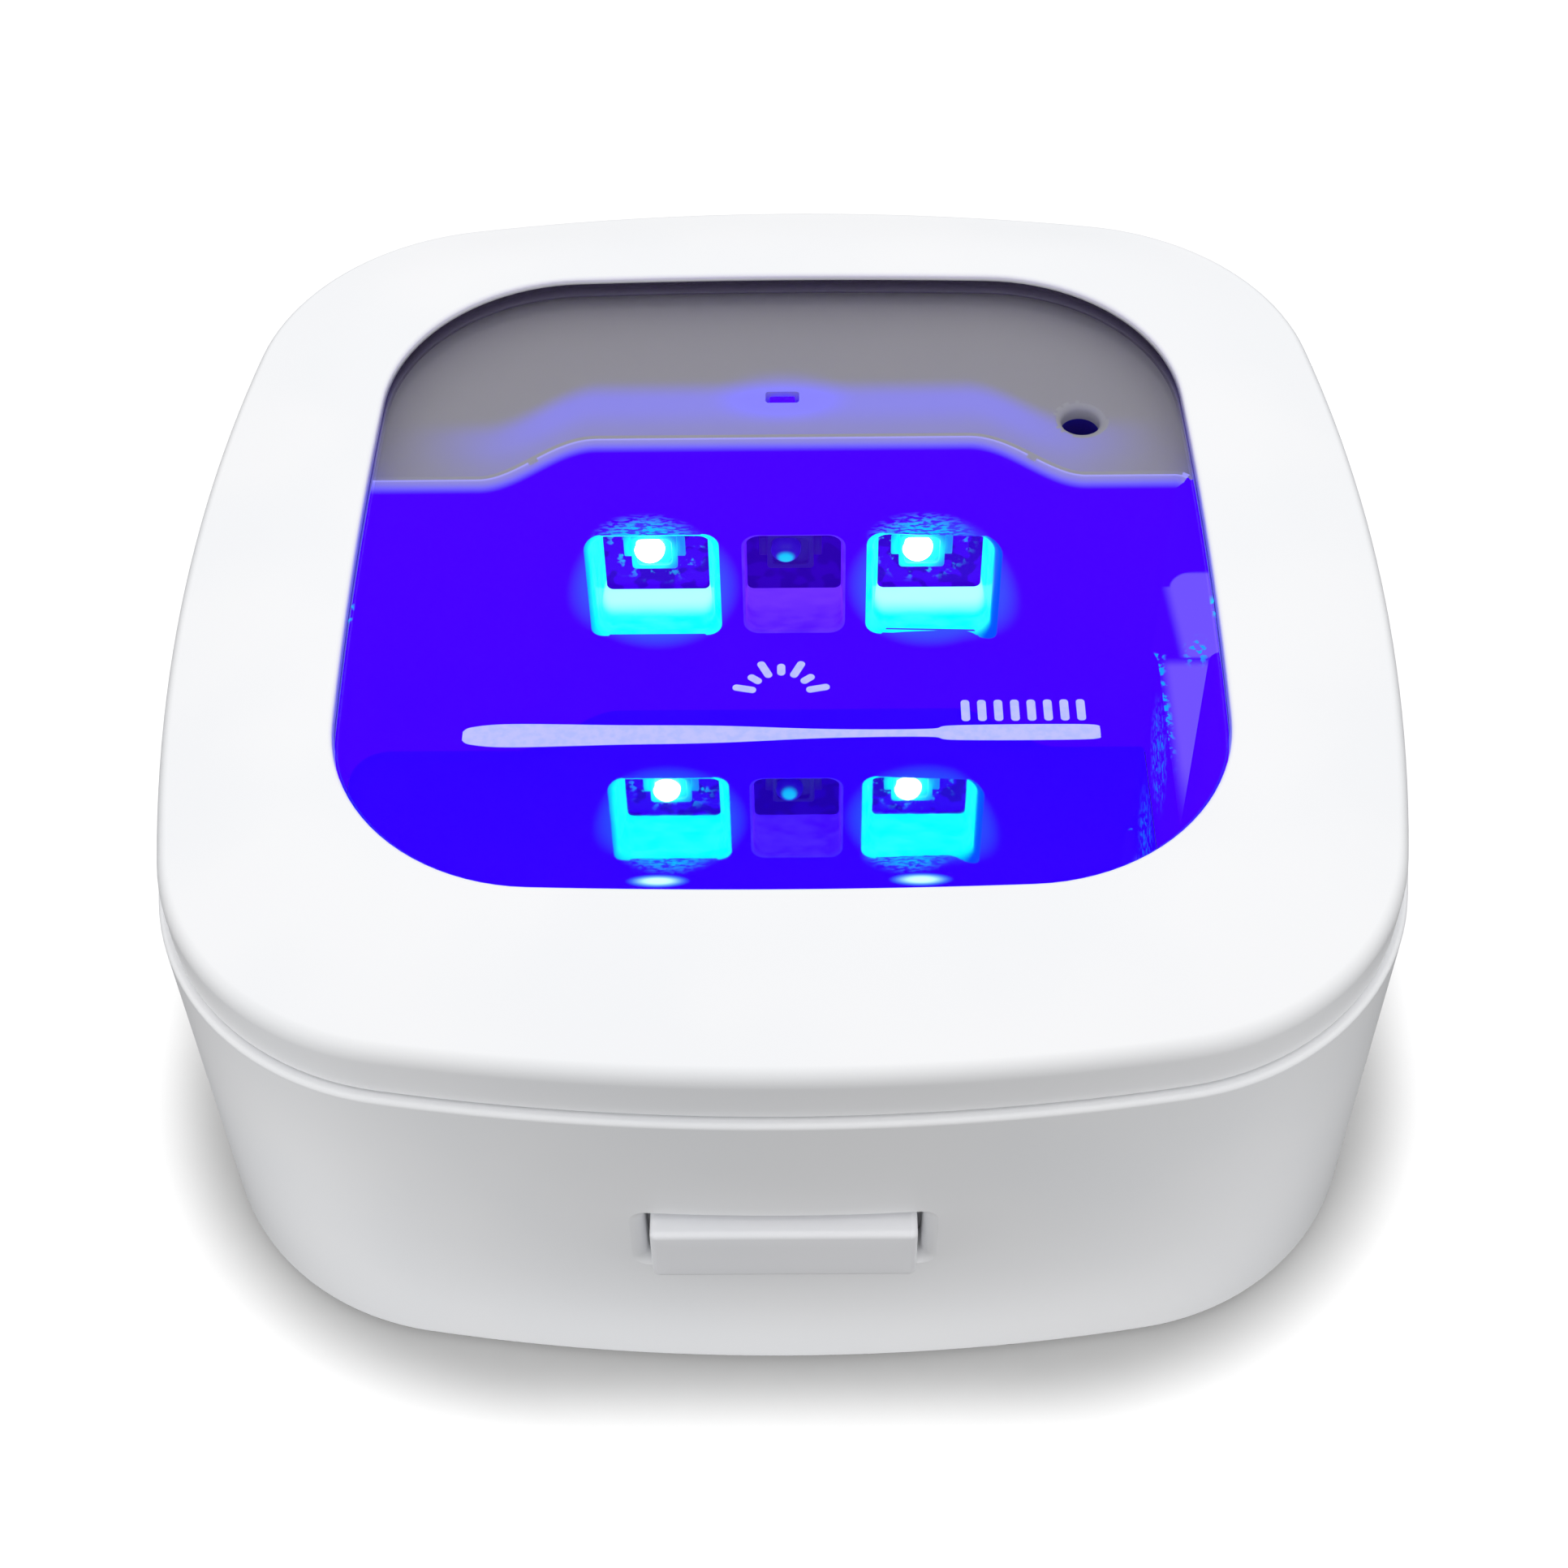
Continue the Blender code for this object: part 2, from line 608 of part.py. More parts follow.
def make_small_hardware():
    rod("hinge_pin", (0, HINGE_Y, HINGE_Z), PIN_RADIUS, 34.0, "X", STEEL, 16)
    x, y = TRAY_SCREW
    screw = post("tray_screw", TRAY_SCREW, 1.05, (24.5, 25.5), STEEL)
    join(screw, post("tray_shank", TRAY_SCREW, 0.5, (17.3, 24.7), sides=12))
    slot_x, slot_y = (x - 0.7, x + 0.7), (y - 0.2, y + 0.2)
    boolean(screw, block("tray_screw_slot", slot_x, slot_y, (25.2, 25.9)))
    for side, name in ((-1, "left"), (1, "right")):
        post(f"bumper_{name}", (side * BUMPER_X, BUMPER_Y), BUMPER_RADIUS, (30.3, 30.66), RUBBER)


# ---------------------------------------------------------------- lid

def lid_rings():
    """Section of the lid, from its lower edge round the side and crown to the window and back."""
    edge_round, crown_steps = 1.35, 3
    shoulder = LID_SHOULDER_Z - LID_SIDE_Z
    rings = [
        (lid_outline(0.2), LID_LOW_Z),
        (lid_outline(), LID_LOW_Z + 0.2),
        (lid_outline(), LID_SIDE_Z),
    ]
    for degrees in (20, 40, 60, 80):
        turn = radians(degrees)
        rings.append((lid_outline(edge_round * (1 - cos(turn))), LID_SIDE_Z + shoulder * sin(turn)))
    for step in range(1, crown_steps + 1):
        share = step / crown_steps
        points = blend_outlines(lid_outline(edge_round), window_outline(-0.3), share)
        height = LID_SHOULDER_Z + (LID_TOP_Z - LID_SHOULDER_Z) * sin(share * pi / 2)
        rings.append((points, height))
    rings += [
        (window_outline(), LID_TOP_Z - 0.2),
        (window_outline(), LID_UNDER_Z),
        (lid_outline(LID_WALL), LID_UNDER_Z),
        (lid_outline(LID_WALL), LID_LOW_Z),
    ]
    return rings


def make_lid_frame():
    frame = loft("lid_frame", lid_rings(), WHITE)
    half, arm_y = LID_KNUCKLE_HALF, (HINGE_Y - 1.2, HINGE_Y + 1.1)
    join(frame, rod("lid_knuckle", (0, HINGE_Y, HINGE_Z), KNUCKLE_RADIUS, 2 * half, "X"))
    join(frame, block("hinge_arm", both_ways(half - 0.2), arm_y, (HINGE_Z, LID_LOW_Z + 1.4)))
    boolean(frame, rod("lid_bore", (0, HINGE_Y, HINGE_Z), BORE_RADIUS, 4 * half, "X"))
    boolean(frame, post("magnet_recess", MAGNET_PLACE, MAGNET_RADIUS + GAP, (31.1, 32.5), sides=20))
    return frame


def make_lid_inner_frame():
    outer, opening = lid_outline(LID_WALL + 0.45), window_outline(-1.0)
    low, high, hook_low, hook_x = LID_UNDER_Z - 0.85, LID_UNDER_Z - 0.3, 21.4, both_ways(HOOK_HALF)
    inner = plate("lid_inner_frame", [outer, opening], low, high, WHITE)
    join(inner, block("hook_tongue", hook_x, (-37.0, -36.1), (hook_low, low + 0.25)))
    join(inner, block("hook_catch", hook_x, (-36.6, -35.2), (hook_low, hook_low + 1.2)))
    return inner


def make_neck_gate():
    """Block under the lid that closes the upper part of the neck passage."""
    gate_y = spread((PASSAGE_FRONT_Y, LAMP_WALL_SIDE_Y), -0.5)
    limits_x, limits_z, step_x, step_z = (32.5, 41.0), (15.0, 35.0), (37.4, 42.0), (RIM_Z - 0.2, 33.0)
    gate = plate("neck_gate", [base_outline(0.4)], PASSAGE_TOP_Z, SHELF_Z + 0.15, WHITE)
    boolean(gate, block("gate_limits", limits_x, gate_y, limits_z), "INTERSECT")
    boolean(gate, block("gate_step", step_x, spread(gate_y, 10.0), step_z))
    return gate


def make_lid():
    window = plate("lid_window", [window_outline(GAP)], LID_UNDER_Z, LID_TOP_Z - 0.4, CLEAR)
    magnet = post("lid_magnet", MAGNET_PLACE, MAGNET_RADIUS, (31.8, 32.3), STEEL, 20)
    return [make_lid_frame(), window, make_lid_inner_frame(), make_neck_gate(), magnet]


# ---------------------------------------------------------------- button and latch

def make_button():
    button_x, button_y = both_ways(BUTTON_HALF), (-BASE_HALF - BUTTON_PROUD, -37.0)
    button = block("push_button", button_x, button_y, BUTTON_Z, WHITE, 0.6)
    flange_x, flange_z = both_ways(BUTTON_HALF + 1.0), spread(BUTTON_Z, 0.9)
    join(button, block("button_flange", flange_x, (-37.4, -36.2), flange_z))
    slider_x, arm_x = both_ways(BUTTON_HALF + 0.7), both_ways(HOOK_HALF - 0.1)
    slider = block("latch_slider", slider_x, (-35.9, -33.9), (6.3, 17.8), TRAY_WHITE)
    join(slider, block("latch_arm", arm_x, (-34.9, -33.5), (16.0, 24.6)))
    join(slider, block("latch_nose", arm_x, (-35.8, -34.0), (22.9, 24.4)))
    return [button, slider]


def make_latch_springs():
    """Coil springs along Y between the slider and the chamber's front wall."""
    turns, turn_steps, radius, start, end = 5, 10, 1.3, -33.4, -29.1
    centre_x, centre_z, wire_radius = 6.0, 12.0, 0.2
    steps = turns * turn_steps
    for side, name in ((-1, "left"), (1, "right")):
        path = []
        for step in range(steps + 1):
            angle = 2 * pi * step / turn_steps
            path.append((
                side * centre_x + radius * cos(angle),
                start + (end - start) * step / steps,
                centre_z + radius * sin(angle),
            ))
        wire(f"latch_spring_{name}", path, wire_radius, STEEL, 1)


def ride_on_axis(name, place, pieces):
    """Parents pieces to an empty on their joint's axis, without moving them."""
    axis = bpy.data.objects.new(name, None)
    axis.location = Vector(place) * MM
    parts.objects.link(axis)
    bpy.context.view_layer.update()
    for piece in pieces:
        piece.parent = axis
        piece.matrix_parent_inverse = axis.matrix_world.inverted()


def main():
    make_base_shell()
    make_bottom_cover()
    make_feet_and_cover_screws()
    make_chamber_tray()
    make_reflector_plate()
    make_lamps()
    make_boards()
    make_power()
    make_leads()
    make_small_hardware()
    make_latch_springs()
    ride_on_axis("lid_axis", (0, HINGE_Y, HINGE_Z), make_lid())
    ride_on_axis("button_axis", (0, -BASE_HALF, sum(BUTTON_Z) / 2), make_button())


main()
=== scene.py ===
"""Looks of the toothbrush sanitizer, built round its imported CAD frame.

Sizes here are in millimetres and become metres when a piece is finished.  +Z is up, the button side
faces -Y and the hinge side +Y.  Outer skins repeat the CAD sections on finer outlines, and every piece
rides on one of the bodies "base", "lid" and "button".
"""

import bmesh
import bpy
from functools import partial, reduce
from math import atan2, cos, hypot, pi, radians, sin, sqrt
from mathutils import Matrix, Vector


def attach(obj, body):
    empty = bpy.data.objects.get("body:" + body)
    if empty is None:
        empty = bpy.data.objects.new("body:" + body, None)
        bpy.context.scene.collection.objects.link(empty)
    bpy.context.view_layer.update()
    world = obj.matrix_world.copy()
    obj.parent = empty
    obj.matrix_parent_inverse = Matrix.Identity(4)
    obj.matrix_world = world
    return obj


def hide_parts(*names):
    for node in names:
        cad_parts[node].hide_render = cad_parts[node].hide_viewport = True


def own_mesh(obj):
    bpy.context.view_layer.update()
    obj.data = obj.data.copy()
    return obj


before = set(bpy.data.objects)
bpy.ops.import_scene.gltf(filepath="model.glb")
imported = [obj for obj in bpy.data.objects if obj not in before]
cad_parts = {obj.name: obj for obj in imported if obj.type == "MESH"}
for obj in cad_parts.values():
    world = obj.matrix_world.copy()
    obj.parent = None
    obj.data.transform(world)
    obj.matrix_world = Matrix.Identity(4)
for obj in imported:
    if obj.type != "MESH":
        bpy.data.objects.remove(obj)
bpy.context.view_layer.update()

MM = 0.001
GAP = 0.3

# Outlines: a square with bowed sides, and its round corners
BASE_HALF = 40.0
SIDE_RADIUS = 142.0
CORNER_RADIUS = 18.0
LID_STEP_IN = 0.55
SIDE_STEPS = 24
CORNER_STEPS = 22
WINDOW_HALF = 28.0
WINDOW_SIDE_RADIUS = 400.0
WINDOW_CORNER = 13.4
WINDOW_STRETCH = 1.014
WINDOW_Y = 1.2

# Heights above the table
FOOT_DROP = 0.5
FLOOR_Z = 3.0
RIM_Z = 27.7
LID_LOW_Z = 28.0
SHELF_Z = 30.5
LID_SIDE_Z = 30.65
LID_SHOULDER_Z = 31.95
LID_TOP_Z = 33.4
LID_UNDER_Z = 31.8
LENS_TOP_Z = 33.0
PASSAGE_FLOOR_Z = 12.6
PASSAGE_TOP_Z = 21.6
TRAY_LOW_Z = 2.5

# Walls
BASE_WALL = 2.0
LID_WALL = 1.6
COVER_THICK = 1.7
TRAY_INSET = 2.6

# Chamber, seen from above
CHAMBER_LEFT = -33.5
CHAMBER_RIGHT = 27.6
CHAMBER_FRONT = -26.5
LAMP_WALL_SIDE_Y = 10.5
LAMP_WALL_MID_Y = 14.6
WAVE_INNER_X = 13.0
WAVE_OUTER_X = 21.0
PASSAGE_FRONT_Y = -5.8

# Lamp cups and the board behind them
CUP_PLACES = {-1: -9.65, 0: 0.7, 1: 10.95}
LAMP_PLACES = {-1: -9.75, 0: 0.45, 1: 10.3}
CUP_Z = 16.5
CUP_FRONT_SIZE = (8.9, 9.6)
CUP_BACK_SIZE = (7.85, 8.6)
MID_CUP_FRONT_SIZE = (7.2, 9.8)
MID_CUP_BACK_SIZE = (7.1, 8.6)
BAY_FRONT_Y = 18.6
LAMP_Z = 16.65
RESISTOR_PLACES = ((-14.5, 9.0), (-4.6, 22.4), (5.2, 22.6), (15.0, 9.6), (-15.0, 22.6), (15.2, 22.4))

# Hinge, button and latch
HINGE_Y = 39.4
HINGE_Z = 25.9
KNUCKLE_RADIUS = 1.7
BORE_RADIUS = 1.0
LID_KNUCKLE_HALF = 10.0
BASE_KNUCKLE_LENGTH = 7.0
BUTTON_HALF = 8.0
BUTTON_Z = (12.7, 17.5)
BUTTON_FACE_Y = -41.05
FRONT_WALL_Y = -28.6
BAY_HALF = 22.0
BAY_Z = (6.0, 29.0)

# Screws, feet, bumper pads and magnet
BOSS_AT = 29.9
BOSS_RADIUS = 3.0
TRAY_SCREW = (21.0, 16.8)
WELL_Z = 29.35
FOOT_AT = 24.0
PAD_X, PAD_Y = 26.0, -32.0
MAGNET_AT = (18.0, -33.0)

# Camera, at the photograph's angle
CAMERA_PLACE = (1.58, -118.0, 148.6)
CAMERA_DOWN = 0.86222
CAMERA_YAW = -0.01409
CAMERA_ROLL = -0.01745
CAMERA_LENS = 57.88


# --- outlines

def outline(half, side_radius, corner_radius, inset=0.0, stretch=1.0, centre_y=0.0):
    """Closed outline, counter-clockwise, moved inwards by inset."""
    half, side_radius, corner_radius = half - inset, side_radius - inset, corner_radius - inset
    reach = side_radius - half
    corner = (sqrt(2 * (side_radius - corner_radius) ** 2 - reach ** 2) - reach) / 2
    sweep = atan2(corner, corner + reach)
    quarter = []
    for step in range(SIDE_STEPS):
        angle = sweep * (2 * step / SIDE_STEPS - 1)
        quarter.append((side_radius * cos(angle) - reach, side_radius * sin(angle)))
    for step in range(CORNER_STEPS):
        angle = sweep + (pi / 2 - 2 * sweep) * step / CORNER_STEPS
        quarter.append((corner + corner_radius * cos(angle), corner + corner_radius * sin(angle)))
    turns = [Matrix.Rotation(turn * pi / 2, 2) for turn in range(4)]
    points = [turn @ Vector(point) for turn in turns for point in quarter]
    return [(x, y * stretch + centre_y) for x, y in points]


def base_outline(inset=0.0):
    return outline(BASE_HALF, SIDE_RADIUS, CORNER_RADIUS, inset)


def lid_outline(inset=0.0):
    return base_outline(inset + LID_STEP_IN)


def window_outline(inset=0.0):
    return outline(
        WINDOW_HALF, WINDOW_SIDE_RADIUS, WINDOW_CORNER, inset, WINDOW_STRETCH, WINDOW_Y
    )


def blend_outlines(first, second, share):
    return [
        (a[0] + (b[0] - a[0]) * share, a[1] + (b[1] - a[1]) * share)
        for a, b in zip(first, second)
    ]


def arc(centre, radius, start, end, steps):
    """Points of one arc, with its angles in degrees."""
    angles = [radians(start + (end - start) * step / steps) for step in range(steps + 1)]
    return [(centre[0] + radius * cos(a), centre[1] + radius * sin(a)) for a in angles]


def circle(centre, radius, steps=32):
    return arc(centre, radius, 0, 360, steps)[:-1]


def rounded_rectangle(x, y, radius, steps=6):
    """Counter-clockwise outline of a rectangle between two corners, with round corners."""
    points = []
    for turn, (px, py) in enumerate(((x[1], y[1]), (x[0], y[1]), (x[0], y[0]), (x[1], y[0]))):
        centre = (px - radius if px == x[1] else px + radius, py - radius if py == y[1] else py + radius)
        points += arc(centre, radius, turn * 90, turn * 90 + 90, steps)
    return points


def shrink(points, distance):
    """Moves a counter-clockwise outline inwards, or outwards where distance is negative."""
    moved = []
    for i, (x, y) in enumerate(points):
        before, after = points[i - 1], points[(i + 1) % len(points)]
        along = Vector((after[0] - before[0], after[1] - before[1])).normalized()
        moved.append((x - along.y * distance, y + along.x * distance))
    return moved


def lamp_wall_y(x):
    """The lamp wall swells back in a smooth wave in the middle of the chamber."""
    share = (WAVE_OUTER_X - abs(x)) / (WAVE_OUTER_X - WAVE_INNER_X)
    share = min(1.0, max(0.0, share))
    smooth = (1 - cos(pi * share)) / 2
    return LAMP_WALL_SIDE_Y + (LAMP_WALL_MID_Y - LAMP_WALL_SIDE_Y) * smooth


def chamber_outline():
    left_round, right_round, rear_round, wave_steps, steps = 10.0, 4.0, 3.0, 28, 14
    points = arc(
        (CHAMBER_LEFT + left_round, CHAMBER_FRONT + left_round), left_round, 180, 270, steps
    )
    points += arc(
        (CHAMBER_RIGHT - right_round, CHAMBER_FRONT + right_round), right_round, 270, 360, steps
    )
    points += arc((CHAMBER_RIGHT - 0.5, LAMP_WALL_SIDE_Y - 0.5), 0.5, 0, 90, 4)
    wave = [
        WAVE_OUTER_X - (WAVE_OUTER_X - WAVE_INNER_X) * step / wave_steps
        for step in range(wave_steps + 1)
    ]
    points += [(x, lamp_wall_y(x)) for x in wave]
    points += [(-x, lamp_wall_y(x)) for x in reversed(wave)]
    points += arc(
        (CHAMBER_LEFT + rear_round, LAMP_WALL_SIDE_Y - rear_round), rear_round, 90, 180, steps
    )
    return points


# --- meshes, in millimetres

FACINGS = {
    "X": Matrix.Rotation(pi / 2, 4, "Y"),
    "-X": Matrix.Rotation(-pi / 2, 4, "Y"),
    "Y": Matrix.Rotation(-pi / 2, 4, "X"),
    "-Y": Matrix.Rotation(pi / 2, 4, "X"),
    "Z": Matrix.Identity(4),
    "-Z": Matrix.Rotation(pi, 4, "X"),
}


def solid(mesh):
    """Temporary object, in millimetres, that can be cut and joined."""
    bmesh.ops.recalc_face_normals(mesh, faces=mesh.faces)
    data = bpy.data.meshes.new("solid")
    mesh.to_mesh(data)
    mesh.free()
    made = bpy.data.objects.new("solid", data)
    bpy.context.scene.collection.objects.link(made)
    return made


def skin_rings(rings, closed=False):
    """Solid through rings of 3-D points.  Unless it is closed, its two ends are capped."""
    mesh = bmesh.new()
    loops = [[mesh.verts.new(point) for point in ring] for ring in rings]
    pairs = list(zip(loops, loops[1:]))
    if closed:
        pairs.append((loops[-1], loops[0]))
    for low, high in pairs:
        for i in range(len(low)):
            j = (i + 1) % len(low)
            mesh.faces.new((low[i], low[j], high[j], high[i]))
    if not closed:
        mesh.faces.new(reversed(loops[0]))
        mesh.faces.new(loops[-1])
    return solid(mesh)


def loft(rings, closed=True):
    """Solid through (outline, height) rings."""
    return skin_rings([[(x, y, z) for x, y in points] for points, z in rings], closed)


def along_axis(axis, points, places):
    """Solid of one outline, in the two other axes, drawn through places along an axis."""
    if axis == "X":
        return skin_rings([[(place, a, b) for a, b in points] for place in places])
    return skin_rings([[(a, place, b) for a, b in points] for place in places])


def edge_profile(low, high, edge, lower_edge=None, steps=5):
    """(inset, height) pairs of a side wall whose two edges are rounded."""
    lower_edge = edge if lower_edge is None else lower_edge
    bottom = [radians(-90 + 90 * step / steps) for step in range(steps + 1)]
    top = [radians(90 * step / steps) for step in range(steps + 1)]
    profile = [(lower_edge * (1 - cos(a)), low + lower_edge + lower_edge * sin(a)) for a in bottom]
    return profile + [(edge * (1 - cos(a)), high - edge + edge * sin(a)) for a in top]


def plate(outer, holes, low, high, edge=0.15, lower_edge=None):
    """Flat solid with holes, whose edges are all rounded."""
    mesh = bmesh.new()
    profile = edge_profile(low, high, edge, lower_edge)
    lowest, highest = [], []
    for points, inwards in [(outer, 1)] + [(hole, -1) for hole in holes]:
        loops = [
            [mesh.verts.new((x, y, z)) for x, y in shrink(points, inwards * inset)]
            for inset, z in profile
        ]
        for under, over in zip(loops, loops[1:]):
            for i in range(len(under)):
                j = (i + 1) % len(under)
                mesh.faces.new((under[i], under[j], over[j], over[i]))
        lowest.append(loops[0])
        highest.append(loops[-1])
    for level in (lowest, highest):
        rim = [
            mesh.edges.get((loop[i], loop[(i + 1) % len(loop)]))
            for loop in level for i in range(len(loop))
        ]
        bmesh.ops.triangle_fill(mesh, use_beauty=True, edges=rim)
    return solid(mesh)


def block(x, y, z, edge=0.15, segments=3):
    """Box between two corners, with rounded edges."""
    mesh = bmesh.new()
    size = Vector((x[1] - x[0], y[1] - y[0], z[1] - z[0]))
    middle = Vector((x[0] + x[1], y[0] + y[1], z[0] + z[1])) / 2
    bmesh.ops.create_cube(
        mesh, size=1.0, matrix=Matrix.Translation(middle) @ Matrix.Diagonal((*size, 1.0))
    )
    if edge:
        bmesh.ops.bevel(
            mesh, geom=mesh.edges[:], offset=edge, segments=segments, profile=0.5, affect="EDGES"
        )
    return solid(mesh)


def lathe(profile, centre=(0, 0, 0), along="Z", steps=48):
    """Turns (radius, height) points round an axis.  An end off the axis gets a flat cap."""
    rings = []
    for radius, height in profile:
        rings.append([
            (radius * cos(2 * pi * i / steps), radius * sin(2 * pi * i / steps), height)
            for i in range(steps)
        ])
    made = skin_rings(rings)
    move(made, Matrix.Translation(Vector(centre)) @ FACINGS[along])
    return made


def cut_block(target, x, y, z):
    combine(target, block(x, y, z, 0.0))


def cut_rod(target, centre, radius, length, along="Z", steps=40):
    combine(target, rod(centre, radius, length, along, 0.0, steps))


def rod(centre, radius, length, along="Z", edge=0.15, steps=40):
    """Cylinder with rounded ends whose middle is at centre."""
    profile = [(radius - inset, z) for inset, z in edge_profile(-length / 2, length / 2, edge)]
    return lathe(profile, centre, along, steps)


def move(target, matrix):
    target.data.transform(matrix)
    target.data.update()


def tube(points, radius, sides=12):
    """Round wire with capped ends along a list of points."""
    path = [Vector(point) for point in points]
    ahead = (path[1] - path[0]).normalized()
    side = ahead.orthogonal().normalized()
    rings = []
    for i, point in enumerate(path):
        near, far = path[max(i - 1, 0)], path[min(i + 1, len(path) - 1)]
        turned = (far - near).normalized()
        side = (ahead.rotation_difference(turned) @ side).normalized()
        ahead = turned
        up = ahead.cross(side)
        rings.append([
            point + radius * (side * cos(2 * pi * k / sides) + up * sin(2 * pi * k / sides))
            for k in range(sides)
        ])
    return skin_rings(rings)


def smooth_path(points, steps=10):
    """Catmull-Rom curve through a few points."""
    padded = [points[0], *points, points[-1]]
    path = []
    for i in range(len(points) - 1):
        a, b, c, d = (Vector(p) for p in padded[i:i + 4])
        for step in range(steps):
            t = step / steps
            path.append(
                0.5 * (2 * b + (c - a) * t + (2 * a - 5 * b + 4 * c - d) * t ** 2
                       + (3 * b - a - 3 * c + d) * t ** 3)
            )
    path.append(Vector(points[-1]))
    return path


def combine(target, tool, operation="DIFFERENCE"):
    """Applies one boolean at once and removes its tool."""
    modifier = target.modifiers.new("boolean", "BOOLEAN")
    modifier.operation = operation
    modifier.solver = "EXACT"
    modifier.object = tool
    bpy.context.view_layer.update()
    evaluated = target.evaluated_get(bpy.context.evaluated_depsgraph_get())
    data = bpy.data.meshes.new_from_object(evaluated)
    target.modifiers.clear()
    target.data = data
    bpy.data.objects.remove(tool, do_unlink=True)


def join(target, tool):
    combine(target, tool, "UNION")


def gather(items):
    """One mesh object from several separate solids."""
    mesh = bmesh.new()
    for item in items:
        mesh.from_mesh(item.data)
        bpy.data.objects.remove(item, do_unlink=True)
    return solid(mesh)


def corners(distance):
    """The four corner places, with a name for each."""
    sides = {"front_left": (-1, -1), "front_right": (1, -1), "rear_left": (-1, 1), "rear_right": (1, 1)}
    return {name: (x * distance, y * distance) for name, (x, y) in sides.items()}


def finish_piece(name, made, skins, body, replaced=(), pick=None, smooth_degrees=32):
    """Names a solid, takes it to metres, shades it and lets it ride.  pick gives a face its skin."""
    data = made.data
    made.name = name
    data.name = name
    skins = skins if isinstance(skins, (list, tuple)) else [skins]
    data.materials.clear()
    for skin in skins:
        data.materials.append(skin)
    for face in data.polygons:
        face.material_index = pick(face) if pick else 0
    data.transform(Matrix.Scale(MM, 4))
    data.shade_smooth()
    data.set_sharp_from_angle(angle=radians(smooth_degrees))
    weighted = made.modifiers.new("even_shading", "WEIGHTED_NORMAL")
    weighted.keep_sharp = True
    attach(made, body)
    if replaced:
        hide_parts(*replaced)
    return made


# --- materials

